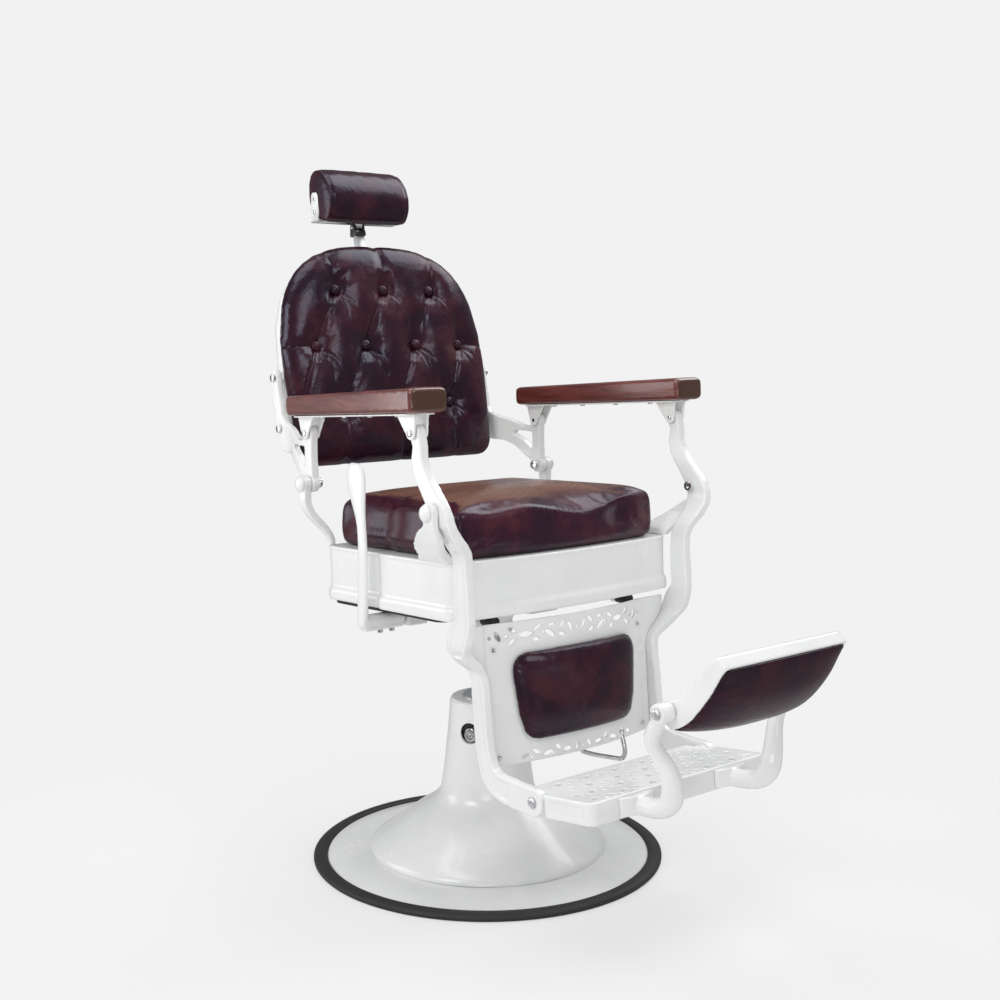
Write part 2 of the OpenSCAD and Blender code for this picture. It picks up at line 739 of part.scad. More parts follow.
// Lever blade as [height above pivot, middle behind pivot, width, thickness]
blade = [
  [-10, 0, 20, 13], [0, 0, 26, 15], [30, -1, 27, 13], [80, -2, 26, 11], [140, -2, 25, 10], [175, 1, 26, 9.5],
  [200, 6, 33, 10], [222, 11, 45, paddle_t], [245, 15, paddle_w - 4, paddle_t], [265, 17, paddle_w, paddle_t],
  [280, 17, paddle_w - 10, paddle_t - 1], [288, 17, paddle_w - 30, paddle_t - 4]
];

module hand_lever() color(enamel) difference() {
  union() {
    skin([for (b = smooth(blade, 2)) [for (i = [0 : 11]) let (a = 30 * i)
      [-lever_x + b[3] / 2 * pow(abs(cos(a)), 0.7) * sign(cos(a)),
        lever_y + b[1] + b[2] / 2 * pow(abs(sin(a)), 0.8) * sign(sin(a)), lever_z + b[0] * lever_len / 290]]]);
    bar_x(-lever_x, -bearing_x[1] - 4, shaft_d + 10, lever_y, lever_z);
    translate([-lever_x, lever_y - 11, lever_z - 17]) cube([lever_x - bearing_x[1] - 6, 22, 17]);
  }
  bar_x(-lever_x + 4, -bearing_x[1], shaft_d + 2 * fit, lever_y, lever_z);
  for (x = [-lever_x + 38, -lever_x + 64]) translate([x, lever_y, lever_z - 30]) cylinder(h = 30, r = 3.3);
}

module lever_bolts() color(bright) for (x = [-lever_x + 38, -lever_x + 64])
  translate([x, lever_y, lever_z]) {
    translate([0, 0, -24]) cylinder(h = 7, d = 11, $fn = 6);
    translate([0, 0, -17]) cylinder(h = 17 - shaft_d / 2 - 0.2, r = 3.1);
  }

// ---- Back ----

back_arch = back_h - back_wide_at;
back_foot_w = back_half_w - 8;
arch_power = 2.85;

// Back seen from the front, moved in by k: round lower corners and a tall arch
function back_half_line(k) = concat(
  arc(back_foot_w - back_corner_r, back_corner_r, back_corner_r - k, -90, -8, 5),
  [[back_half_w - k - 3, back_wide_at * 0.55]],
  [for (t = [0, 16, 32, 46, 58, 68, 77, 84]) [
    (back_half_w - k) * pow(cos(t), 2 / arch_power),
    back_wide_at + (back_arch - k) * pow(sin(t), 2 / arch_power)]]
);
function back_line(k) = concat(back_half_line(k), mirrored(back_half_line(k)));
function back_ring(k, d) = [for (q = back_line(k)) [q[0], q[1], -d]];

// Section of the shell as [inset, depth], from the outside of its floor round its rim to the inside
shell_floor = 8 + shell_d;
shell_section = [
  [shell_inset + 15, shell_floor], [shell_inset + 5, shell_floor - 5], [shell_inset, shell_floor - 18],
  [shell_inset, 8], [shell_inset + shell_wall, 8], [shell_inset + shell_wall, shell_floor - 16],
  [16, shell_floor - shell_wall - 3],
  [30, shell_floor - shell_wall]
];
// Side lands of the shell, where the brackets bolt on
land_x = 250;
bolt_places = [[315, 828], [334, 926]];

module back_shell() color(enamel) difference() {
  union() {
    in_back() rotate([90, 0, 0]) skin([for (p = shell_section) back_ring(p[0], p[1])]);
    for (p = bolt_places) both_sides() bar_x(land_x - 22, land_x, 16, p[0], p[1]);
  }
  in_back() translate([-bar_w / 2 - 1, bar_depth - bar_t / 2 - 1, back_h - 60])
    cube([bar_w + 2, bar_t + 2, 80]);
}

// Buttons as [across, height]; the creases run between them
button_rows = [[0, 352], [117, 352], [62, 238], [177, 238], [0, 116], [132, 116]];
function pair(p) = p[0] == 0 ? [p] : [p, [-p[0], p[1]]];
buttons = [for (b = button_rows) each pair(b)];
crease_rows = [
  [[0, 352], [62, 238]], [[117, 352], [62, 238]], [[117, 352], [177, 238]], [[62, 238], [0, 116]],
  [[62, 238], [132, 116]], [[177, 238], [132, 116]], [[117, 352], [128, 420]], [[0, 352], [0, 447]],
  [[177, 238], [255, 230]], [[132, 116], [136, 0]], [[0, 116], [0, 0]]
];
creases = [for (c = crease_rows) each [c, [[-c[0][0], c[0][1]], [-c[1][0], c[1][1]]]]];

function to_line(p, a, b) =
  let (d = b - a, t = max(0, min(1, (p - a) * d / (d * d)))) norm(p - a - t * d);

// How far the cushion's face is drawn in at p
function tuft(p) =
  max([for (b = buttons) tuft_depth * exp(-pow(norm(p - b) / 22, 2))]) +
  0.3 * tuft_depth * max([for (c = creases) exp(-pow(to_line(p, c[0], c[1]) / 10, 2))]);

// Rows of the cushion as [height, half width]
back_rows = concat(
  [for (a = [-90, -60, -35, -10]) [
    back_corner_r + back_corner_r * sin(a), back_foot_w - back_corner_r + back_corner_r * cos(a)]],
  [for (h = [55, 80, 98, 116, 134, 155, 178, 200, 220, 238, 256]) [h, h < back_wide_at
    ? back_foot_w + 8 * min(1, (h - back_corner_r) / (back_wide_at - back_corner_r))
    : back_half_w * pow(1 - pow((h - back_wide_at) / back_arch, arch_power), 1 / arch_power)]],
  [for (t = [24, 31, 38, 46, 54, 62, 70, 77, 83, 87.5]) [
    back_wide_at + back_arch * pow(sin(t), 2 / arch_power), back_half_w * pow(cos(t), 2 / arch_power)]]
);

function back_face(u, p) =
  back_pad_crown * pow(1 - pow(abs(u), 5), 0.5) * pow(1 - pow(abs(2 * p[1] / back_h - 1), 6), 0.5) - tuft(p);
function back_grid(n) = [for (r = back_rows) [for (i = [0 : n])
  let (s = sin(72 * (2 * i / n - 1)) / sin(72)) [s * r[1], r[0], max(0, back_face(s, [s * r[1], r[0]]))]]];

// A ring behind the rim of a grid, drawn in by k about height mid, at height h
function behind(grid, k, mid, h) =
  let (nx = len(grid[0]) - 1, ny = len(grid) - 1, flat = [for (row = grid) each row],
    w = max([for (p = flat) p[0]]), l = flat[len(flat) - 1][1] - mid)
  [for (i = rim_of(nx, ny)) let (p = flat[i]) [p[0] * (1 - k / w), mid + (p[1] - mid) * (1 - k / l), h]];

module back_cushion() color(oxblood) in_back() rotate([90, 0, 0]) {
  g = back_grid(24);
  m = back_h / 2;
  cushion(g, [behind(g, 0, m, -3), behind(g, 3, m, -6), behind(g, 14, m, -8 + seat_gap)]);
}

module back_buttons() color(oxblood) in_back() for (b = buttons)
  translate([b[0], -back_face(b[0] / back_half_w, b) - 1, b[1]])
    rotate([90, 0, 0]) rotate_extrude($fn = 16) polygon(concat(
      [[0, 0], [button_d / 2 - 2, 0]], [for (a = [0 : 18 : 90]) [button_d / 2 * cos(a), 1 + 5 * sin(a)]]
    ));

bracket_plan = [
  [bracket_out - bracket_t / 2, 120, bracket_t], [bracket_out - bracket_t / 2, 180, bracket_t],
  [bracket_out - bracket_t / 2 - 1, 207, bracket_t], [bracket_out - bracket_t / 2 - 8, 238, 15],
  [land_x + 14, 266, 14], [land_x + 7.6, 294, 14], [land_x + 7.2, 380, 14]
];
// Outline of the bracket in Y and Z: upright, web, strap up the shell's side, lower curve
bracket_outline = concat(
  smooth([rear_pivot + [-13, 4], rear_pivot + [-10, 36], rear_pivot + [-9, 70], arm_rear + [-14, 0]], 2),
  smooth([arm_rear + [14, 0], arm_rear + [17, -12], arm_rear + [38, -13], arm_rear + [75, 0], [302, 842],
    [313, 868], [322, 905], [328, 934], [337, 944], [347, 938]], 2),
  smooth([[347, 920], [340, 880], [331, 836], [323, 808], [310, 786], [285, 783], [260, 782], [233, 770],
    [209, 753], rear_pivot + [14, 6]], 2)
);

// Window in the bracket's web
bracket_window = [
  [187, 804], [232, 805], [240, 802], [236, 797], [214, 785], [193, 770], [188, 768], [186, 773]
];

module back_bracket() color(enamel) difference() {
  union() {
    intersection() {
      along_x(200, 340) polygon(bracket_outline);
      translate([0, 0, 650]) linear_extrude(350) polygon(strip(bracket_plan, 2));
    }
    bar_x(bracket_out - bracket_t, bracket_out, 32, rear_pivot[0], rear_pivot[1]);
    bar_x(bracket_out - bracket_t, bracket_out, 29, arm_rear[0], arm_rear[1]);
  }
  along_x(200, 340) polygon(bracket_window);
  bar_x(200, 340, bolt_d + 2 * fit, rear_pivot[0], rear_pivot[1]);
  bar_x(200, 340, arm_pin_d + 2 * fit, arm_rear[0], arm_rear[1]);
  for (p = bolt_places) bar_x(200, 340, 8.4, p[0], p[1]);
  bar_x(bracket_out, bracket_out + 20, 40, rear_pivot[0], rear_pivot[1]);
}

module left_back_bracket() back_bracket();
module right_back_bracket() other_side() back_bracket();

module bracket_bolts() color(bright) both_sides() for (p = bolt_places) {
  bar_x(land_x + 0.1, land_x + 14.5, 8, p[0], p[1]);
  bar_x(land_x + 14.5, land_x + 20, 14, p[0], p[1]);
}

// Channel inside the shell that the headrest bar slides in
guide_foot = back_h - 157;

module headrest_guide() color(bright) in_back() difference() {
  translate([-22, bar_depth - 9, guide_foot]) cube([44, shell_floor - shell_wall - bar_depth + 9, 120]);
  translate([-bar_w / 2 - fit, bar_depth - bar_t / 2 - fit, guide_foot - 1])
    cube([bar_w + 2 * fit, bar_t + 2 * fit, 122]);
}

// ---- Headrest ----

// Middle of a back's top edge in Y and Z
function back_top(y, z, h, lean) = [y + h * sin(lean), z + h * cos(lean)];
// The headrest's own numbers are those over a back of these sizes, and it moves with the top of the real one
head_shift = back_top(back_y, back_z, back_h, back_lean) - back_top(279, 752, 447, 12.5);
module in_head() {
  translate([0, head_shift[0], head_shift[1]]) children();
}

tilt_pin = [428, 1230] + head_shift;
clamp_half = 13;

module headrest_bar() color(bright) in_back() translate([-bar_w / 2, bar_depth - bar_t / 2, back_h - bar_in])
  cube([bar_w, bar_t, bar_in + bar_out]);

module headrest_clamp() color(black) difference() {
  union() {
    in_back() translate([-clamp_half, bar_depth - 8, back_h + bar_out]) cube([2 * clamp_half, 20, 8]);
    both_sides() along_x(8.5, clamp_half) union() {
      translate(tilt_pin) circle(r = 8);
      translate(tilt_pin - [8, 15]) square([16, 15]);
    }
  }
  bar_x(-30, 30, 7 + 2 * fit, tilt_pin[0], tilt_pin[1]);
}

module headrest_pin() color(bright) bar_x(-clamp_half - 2, clamp_half + 2, 7, tilt_pin[0], tilt_pin[1]);

// Direction of the headrest's sloping underside
under_a = -9.2;

module headrest_plate() color(enamel) difference() {
  union() {
    in_head() translate([1.2 - headrest_w / 2, 421, 1240.4]) rotate([under_a, 0, 0])
      cube([headrest_w - 2.4, 26, 3]);
    in_head() both_sides() along_x(headrest_w / 2 - 3.4, headrest_w / 2 - 1.2) polygon([
      [421, 1242], [445, 1238], [447, 1262], [446, 1292], [441, 1297], [427, 1297], [422, 1290], [420, 1262]]);
    along_x(-7.8, 7.8) union() {
      translate(tilt_pin) circle(r = 6.5);
      translate(tilt_pin - [6.5, 0]) square([13, 11]);
    }
  }
  bar_x(-30, 30, 7 + 2 * fit, tilt_pin[0], tilt_pin[1]);
}

// Section of the headrest cushion in Y and Z, anticlockwise seen from +X
rest_section = smooth([
  [418, 1246], [432, 1244], [449, 1241.5], [455, 1262], [461, 1290], [461, 1318], [453, 1336], [438, 1345],
  [420, 1344], [402, 1332], [386, 1313], [377, 1291], [376, 1269], [381, 1253], [390, 1241], [401, 1236],
  [411, 1238], [418, 1246]
], 1);
rest_mid = [420, 1292];

module headrest_cushion() color(oxblood) in_head() {
  w = headrest_w / 2 - 3.8;
  skin([for (r = [[-w, 0.88], [-w + 2, 0.95], [-w + 7, 0.985], [-w + 20, 1], [-25, 1.01], [25, 1.01],
    [w - 20, 1], [w - 7, 0.985], [w - 2, 0.95], [w, 0.88]])
    [for (i = [0 : len(rest_section) - 2])
      let (p = rest_mid + r[1] * (rest_section[i] - rest_mid)) [r[0], p[0], p[1]]]]);
}

module headrest_screws() color(bright) in_head() both_sides() for (z = [1258, 1284])
  bar_x(headrest_w / 2 - 1.2, headrest_w / 2 + 1, 7, 433, z);

// ---- Arms, built on the sitter's left ----

arm_rise = atan2(arm_front_z - arm_rear_z, arm_front_y + arm_rear_y);
arm_run = norm([arm_front_z - arm_rear_z, arm_front_y + arm_rear_y]);
arm_x_front = crank_out - casting_t / 2;
arm_x_rear = bracket_out - bracket_t / 2;
toe_in = atan2(arm_x_front - arm_x_rear, arm_run);

module in_arm() {
  translate([arm_x_front, arm_front[0], arm_front[1]])
    rotate([-arm_rise, 0, 0]) rotate([0, 0, toe_in]) children();
}

// Clevis ear round the pin at p, leaning by lean along Y to its top
function ear_top(y) = [y, arm_seat_h - arm_plate_t + 1.2 - y * tan(arm_rise)];
module ear(x0, p, lean) {
  along_x(x0, x0 + ear_t) translate(p) union() {
    circle(r = 11);
    polygon([[-11, -1], [-8, -7], [9, -6], ear_top(lean + 26), ear_top(lean - 26)]);
  }
}

module arm_plate() color(enamel) difference() {
  union() {
    in_arm() translate([0, 0, arm_seat_h - arm_plate_t]) linear_extrude(arm_plate_t) polygon(concat(
      arc(22, -8, 8, -90, 0, 4), arc(22, arm_run + 6, 8, 0, 90, 4),
      arc(-22, arm_run + 6, 8, 90, 180, 4), arc(-22, -8, 8, 180, 270, 4)));
    for (s = [-1, 1]) {
      ear(arm_x_front - ear_t / 2 + s * (casting_t / 2 + ear_gap + ear_t / 2), arm_front, 12);
      ear(arm_x_rear - ear_t / 2 + s * (bracket_t / 2 + ear_gap + ear_t / 2), arm_rear, -5);
    }
  }
  bar_x(200, 380, arm_pin_d + 2 * fit, arm_front[0], arm_front[1]);
  bar_x(200, 380, arm_pin_d + 2 * fit, arm_rear[0], arm_rear[1]);
}

// Arm rest: a flat board with eased edges that thins towards the rear
module arm_wood() color(timber) in_arm() translate([0, 0, arm_seat_h]) skin([
  for (r = [[0, 0.86, 0.74], [2, 0.94, 0.88], [8, 1, 1], [60, 1, 1], [200, 0.98, 1],
    [arm_wood_l - 60, 0.93, 1], [arm_wood_l - 8, 0.9, 1], [arm_wood_l - 2, 0.86, 0.9],
    [arm_wood_l, 0.8, 0.76]])
    let (t = arm_t_front + (arm_t_rear - arm_t_front) * r[0] / arm_wood_l)
    [for (i = [0 : 15]) let (a = -22.5 * i)
      [arm_w / 2 * r[1] * pow(abs(cos(a)), 0.3) * sign(cos(a)), r[0] - arm_overhang_front,
        t / 2 * (1 + r[2] * pow(abs(sin(a)), 0.3) * sign(sin(a)))]]
]);
arm_wood_l = arm_overhang_front + arm_run + arm_overhang_rear;

module arm_pins() color(bright) {
  for (p = [[arm_x_front, casting_t, arm_front], [arm_x_rear, bracket_t, arm_rear]]) {
    reach = p[1] / 2 + ear_gap + ear_t;
    bar_x(p[0] - reach, p[0] + reach, arm_pin_d, p[2][0], p[2][1]);
    bar_x(p[0] + reach, p[0] + reach + 2.5, arm_pin_d + 4, p[2][0], p[2][1]);
  }
}

module arm_screws() color(bright) in_arm() for (y = [60, 150, 240, 320])
  translate([0, y, arm_seat_h - arm_plate_t - 3]) cylinder(h = 3, d = 9);

module left_arm_plate() arm_plate();
module right_arm_plate() other_side() arm_plate();
module left_arm_wood() arm_wood();
module right_arm_wood() other_side() arm_wood();
module left_arm_pins() arm_pins();
module right_arm_pins() other_side() arm_pins();
module left_arm_screws() arm_screws();
module right_arm_screws() other_side() arm_screws();

// ---- Leg frame ----

// Crank seen from the side, as [Y, Z, width]
function at(p, y, z, w) = [p[0] + y, p[1] + z, w];
crank_line = [
  at(arm_front, 0, 0, 28), at(arm_front, -8, -20, 23), at(arm_front, -7, -42, 28), at(arm_front, -13, -62, 31),
  at(arm_front, -29, -85, 32), at(front_pivot, 7, 22, 36), at(front_pivot, -9, 0, 43),
  at(front_pivot, -17, -24, 45),
  at(front_pivot, -19, -49, 40), at(front_pivot, -10, -88, 36), at(front_pivot, -12, -146, 40),
  at(front_pivot, -15, -186, 40), at(front_pivot, -4, -214, 50), at(front_pivot, 10, -242, 42),
  at(front_pivot, 17, -280, 28), at(front_pivot, 15, -296, 32), at(front_pivot, 11, -330, 35),
  at(step_bolt, 134, 80, 34), at(step_bolt, 127, 47, 36), at(step_bolt, 117, 22, 40),
  at(step_bolt, 96, 6, 44),
  at(step_bolt, 62, 1, 47), at(step_bolt, 30, 0, 47), at(step_bolt, 0, 0, 48)
];
// Crank seen from the front, as [X, Z, thickness]
mid_x = crank_mid - casting_t / 2;
low_x = crank_low - casting_t / 2;
crank_strip = [
  [arm_x_front, 880, casting_t], [arm_x_front, 770, casting_t], [arm_x_front, 722, casting_t],
  [arm_x_front - 5, 697, casting_t], [arm_x_front - 21, 675, casting_t], [mid_x + 6, 652, casting_t],
  [mid_x, 626, casting_t], [mid_x, 580, casting_t], [mid_x, 505, casting_t], [mid_x - 6, 482, casting_t],
  [mid_x - 24, 463, casting_t], [low_x + 8, 446, casting_t], [low_x, 422, casting_t],
  [low_x, 380, casting_t], [low_x, 210, casting_t]
];
panel_recess = 2;

module crank() color(enamel) difference() {
  union() {
    intersection() {
      along_x(150, 360) polygon(strip(crank_line, 2));
      along_y(-450, -120) polygon(strip(crank_strip, 2));
    }
    bar_x(arm_x_front - casting_t / 2, arm_x_front + casting_t / 2, 29, arm_front[0], arm_front[1]);
    bar_x(low_x - casting_t / 2, low_x + casting_t / 2, 48, step_bolt[0], step_bolt[1]);
  }
  // Sunk panel in the outer face, which leaves a raised border
  intersection() {
    along_x(150, 360) polygon(strip(widened([for (i = [7 : 21]) crank_line[i]], -15), 2));
    along_y(-450, -120) polygon(strip(
      [for (s = crank_strip) [s[0] + casting_t / 2, s[1], 2 * panel_recess]], 2));
  }
  bar_x(150, 360, arm_pin_d + 2 * open_pivot_play, arm_front[0], arm_front[1]);
  bar_x(150, 360, bolt_d + 2 * fit, front_pivot[0], front_pivot[1]);
  bar_x(150, 360, bolt_d + 2 * fit, step_bolt[0], step_bolt[1]);
  bar_x(crank_low - 3, crank_low + 5, 20, step_bolt[0], step_bolt[1]);
}

module left_crank() crank();
module right_crank() other_side() crank();

// Panel's own frame: its top edge in the middle, with the face towards -Y
module in_panel() {
  translate([0, -panel_front, panel_top_z]) rotate([-panel_lean, 0, 0]) children();
}

panel_len = (panel_top_z - panel_bottom_z) / cos(panel_lean);
fold_x = 188;
bulge_a = asin(fold_x / panel_r);
fold_y = panel_r * (1 - cos(bulge_a));
end_y = fold_y + 4;
module panel_plan() {
  polygon(concat(
    arc(0, panel_r, panel_r, -90 - bulge_a, -90 + bulge_a, 12),
    [[fold_x + 8, fold_y - 2], [270, end_y], [270, end_y + panel_t], [fold_x + 8, fold_y - 2 + panel_t]],
    arc(0, panel_r, panel_r - panel_t, -90 + bulge_a, -90 - bulge_a, 12),
    [[-fold_x - 8, fold_y - 2 + panel_t], [-270, end_y + panel_t], [-270, end_y], [-fold_x - 8, fold_y - 2]]
  ));
}

// Space between the cranks, seen from the front
crank_inside = turned_round(strip_side(widened(crank_strip, 0.6), 2, -1));

// Pierced work as [across, down from the top edge, length, width, angle]
top_leaves = [
  [16, 22, 26, 8, 60], [34, 16, 22, 7, -40], [36, 34, 20, 7, 20], [58, 14, 20, 6, 0],
  [62, 29, 30, 9, 35],
  [88, 16, 24, 7, -25], [92, 36, 18, 7, 10], [112, 25, 34, 10, 0], [138, 15, 22, 7, 30], [140, 36, 22, 7, -30],
  [166, 24, 24, 9, 60]
];
low_leaves = [
  [14, 12, 22, 7, 60], [38, 10, 22, 8, 0], [58, 17, 18, 7, -40], [80, 10, 24, 8, 15], [104, 16, 20, 7, -30],
  [126, 11, 20, 7, 20]
];

module pierced_band(leaves, z, sense) {
  for (l = leaves, side = [-1, 1])
    translate([side * l[0], 0, z + sense * l[1]]) rotate([90, -side * l[4] * -sense, 0])
      translate([0, 0, -60]) linear_extrude(120) leaf(l[2], l[3]);
}

module kick_panel() color(enamel) difference() {
  intersection() {
    in_panel() translate([0, 0, -panel_len]) linear_extrude(panel_len) panel_plan();
    along_y(-400, -150) polygon(concat(crank_inside, mirrored(crank_inside)));
  }
  in_panel() {
    pierced_band(top_leaves, 0, -1);
    pierced_band(low_leaves, -panel_len, 1);
    for (x = [0, 76, -76, 150, -150, 181, -181])
      translate([x, 60, -25]) rotate([90, 0, 0]) cylinder(h = 120, r = 3.2);
    for (x = [0, 70, -70, 115, -115])
      translate([x, 60, 8 - panel_len]) rotate([90, 0, 0]) cylinder(h = 120, r = 2.6);
  }
}

kick_r = 30;
kick_rows = concat(
  [for (a = [-90, -60, -30, 0]) [kick_r * (1 + sin(a)), kick_w / 2 - 14 - kick_r * (1 - cos(a))]],
  [for (k = [0.3, 0.42, 0.54, 0.66, 0.78]) [kick_h * k, kick_w / 2 - 14 + 14 * k / 0.8]],
  [for (a = [0, 30, 60, 90]) [kick_h - kick_r * (1 - sin(a)), kick_w / 2 - kick_r * (1 - cos(a))]]
);
function on_panel(x) = panel_r - sqrt(panel_r * panel_r - x * x);
function kick_face(s, h) =
  7 + (kick_d - 7) * pow(1 - pow(abs(s), 4), 0.5) * pow(1 - pow(abs(2 * h / kick_h - 1), 4), 0.5);
function kick_grid(n) = [for (r = kick_rows) [for (i = [0 : n])
  let (s = sin(80 * (2 * i / n - 1)) / sin(80), x = s * r[1]) [x, r[0], kick_face(s, r[0]) - on_panel(x)]]];
function kick_ring(g, k, h) = [for (p = behind(g, k, kick_h / 2, 0)) [p[0], p[1], h - on_panel(p[0])]];

module kick_cushion() color(oxblood) in_panel() translate([0, 0, -(panel_top_z - kick_z) - kick_h / 2])
  rotate([90, 0, 0]) {
    g = kick_grid(16);
    cushion(g, [kick_ring(g, 0, 4), kick_ring(g, 4, 0.6), kick_ring(g, 45, 1.6), kick_ring(g, 100, 2.4)]);
  }

// How far the panel's screws stand from its middle
screw_x = 175.913;

module panel_screws() color(bright) in_panel() for (x = [-screw_x, screw_x], z = [-46, 16 - panel_len])
  translate([0, panel_r, z]) rotate([0, 0, asin(x / panel_r)]) translate([0, -panel_r - 0.1, 0])
    rotate([90, 0, 0]) cylinder(h = 3, d = 8);

// Rod bent to a loop in the plane X = loop_x, as [Y, Z]; both ends are welded to the panel's rear
loop_x = 107;
loop_path = [
  [-261, 284], [-262.5, 272], [-267, 260], [-270, 248], [-268, 236], [-260, 229], [-246, 226.5], [-205, 221.5],
  [-165, 218.5], [-152, 222], [-149, 233], [-160, 246], [-205, 284], [-255.5, 325]
];

module pull_loop() color(bright) {
  c = smooth(loop_path, 2);
  m = len(c) - 1;
  skin([for (i = [0 : m]) let (d = unit(c[min(i + 1, m)] - c[max(i - 1, 0)]))
    ring_at([loop_x, c[i][0], c[i][1]], [0, d[0], d[1]], loop_d)]);
}

// ---- Step ----

step_in_w = low_x - casting_t / 2 - 3;
step_under = step_top - step_h;
function step_line(off) =
  let (half = concat(arc(step_half_w - 15, 15 - step_front, 15 + off, -90, 0, 4),
    [[step_half_w + off, -28 - off], [step_in_w + off, -28 - off], [step_in_w + off, step_rear + off]]))
  concat(half, mirrored(half));

// Leaves of the pierced tread as [across, forward of the bolts, length, width, angle]
tread_leaves = [
  for (i = [0 : 5], j = [0 : 3]) [17 + 33 * i, 118 - 42 * j, 27, 9, (i + j) % 2 == 0 ? 40 : -40]];
label_recess = [90, 22];

module tread() color(enamel) in_step() difference() {
  union() {
    translate([0, 0, step_under]) linear_extrude(step_h - 1.5) polygon(step_line(0));
    translate([0, 0, step_under]) linear_extrude(step_h) polygon(step_line(-1.5));
    both_sides() bar_x(step_in_w - 1, low_x - casting_t / 2, 40, 0, 0);
  }
  translate([0, 0, step_under - 1]) linear_extrude(step_h - tread_t + 1) polygon(step_line(-step_wall));
  for (l = tread_leaves, side = [-1, 1]) if (l[0] + 14 < (l[1] > 40 ? step_half_w : step_in_w))
    translate([side * l[0], -l[1], 0]) rotate([0, 0, side * l[4]]) linear_extrude(40) leaf(l[2], l[3]);
  for (i = [0 : 4], j = [0 : 3], side = [-1, 1]) translate([side * (34 + 33 * i), 10 - step_front + 42 * j, 0])
    cylinder(h = 40, r = 3.4);
  // Sunk label field in the near side, left blank
  translate([-step_half_w - 1, -step_front + 18, step_under + 8]) cube([2, label_recess[0], label_recess[1]]);
  bar_x(-300, 300, bolt_d + 2 * fit, 0, 0);
  both_sides() translate([rest_foot_x, -step_front - 1, -3]) rotate([-90, 0, 0]) cylinder(h = 20, r = 4.1);
}

module tread_bolts() color(bright) in_step() both_sides() {
  bar_x(step_in_w - step_wall - 2, crank_low, bolt_d, 0, 0);
  bar_x(step_in_w - step_wall - 8, step_in_w - step_wall, bolt_d + 8, 0, 0);
  bar_x(crank_low - 2.8, crank_low + 1.5, 18, 0, 0);
}

// Rest arm as [X, Y, Z, diameter], from its foot on the step to its boss
rest_path = [
  [rest_foot_x, -530, 260, 34], [rest_foot_x, -548, 261, 34], [rest_foot_x + 1, -572, 266, 35],
  [rest_foot_x + 2, -592, 277, 37], [rest_foot_x + 4, -602, 294, 38], [rest_foot_x + 8, -604, 318, 35],
  [rest_foot_x + 15, -600, 342, 31], [rest_foot_x + 28, -592, 366, 28], [rest_foot_x + 39, -590, 386, 27],
  [rest_foot_x + 44, -597, 406, 27], [rest_foot_x + 45, -608, 424, 26], [rest_foot_x + 46, -617, 438, 24]
];
boss_in = pad_half_w + boss_gap;

module rest_arm() color(enamel) difference() {
  union() {
    c = smooth(rest_path, 2);
    m = len(c) - 1;
    skin([for (i = [0 : m]) let (p = c[i], d = c[min(i + 1, m)] - c[max(i - 1, 0)])
      ring_at([p[0], p[1], p[2]], [d[0], d[1], d[2]], p[3])]);
    in_step() translate([rest_foot_x, -step_front - 0.1, 0]) hull() {
      translate([-rest_foot_w / 2, -3, -19]) cube([rest_foot_w, 3, 32]);
      translate([-19, -16, -18]) cube([38, 3, 31]);
    }
    bar_x(boss_in, boss_in + 28, boss_d, -pad_pivot_y, pad_pivot_z);
  }
  bar_x(boss_in - eps, boss_in + 40, 12 + 2 * fit, -pad_pivot_y, pad_pivot_z);
}

module left_rest_arm() rest_arm();
module right_rest_arm() other_side() rest_arm();

// ---- Leg pad, with u up its back and v towards its leather ----

pad_edge = smooth([[-22, 20], [-7, 29], [20, 36], [50, 36], [89, 33], [119, 27], [pad_len, 26]], 2);
function edge_at(u) = lookup(u, pad_edge);

module pad_tray() color(enamel) in_pad() difference() {
  along_x(-pad_half_w, pad_half_w) polygon(concat(
    [[-22, 8], [-19, -4], [-11, -12], [0, -14], [12, -11], [30, -3], [60, 0], [pad_len - 4, 0], [pad_len, 4]],
    turned_round(pad_edge)));
  along_x(-pad_half_w + pad_wall, pad_half_w - pad_wall) polygon([
    [-16, 12], [16, 12], [34, pad_wall], [pad_len - pad_wall, pad_wall], [pad_len - pad_wall, 60],
    [-16, 60]
  ]);
  both_sides() bar_x(pad_half_w - 30, pad_half_w + eps, 12 + 2 * fit, 0, 0);
}

pad_us = [-20, -14, -4, 10, 26, 43, 60, 77, 94, 110, 124, 134, 139];
function pad_rise(s, u) = pad_crown * pow(1 - pow(abs(s), 2.6), 0.6) *
  pow(max(0, 1 - pow(abs((u - 58) / 83), 2.4)), 0.7);
function pad_grid(n) = [for (u = pad_us) [for (i = [0 : n]) let (s = sin(76 * (2 * i / n - 1)) / sin(76))
  [s * (pad_half_w - 1), u, edge_at(u) + 1.6 + pad_rise(s, u)]]];
function pad_ring(g, k, h) = [for (p = behind(g, k, 59, 0)) [p[0], p[1], h > 0 ? h : edge_at(p[1]) + 0.8]];

module pad_leather() color(oxblood) in_pad() {
  g = pad_grid(16);
  cushion(g, [pad_ring(g, 0, 0), pad_ring(g, 6, 0), pad_ring(g, 8, 14)]);
}

module pad_pins() color(bright) both_sides() {
  bar_x(pad_half_w - 26, boss_in + 28, 12, -pad_pivot_y, pad_pivot_z);
  bar_x(boss_in + 28, boss_in + 31, 18, -pad_pivot_y, pad_pivot_z);
}

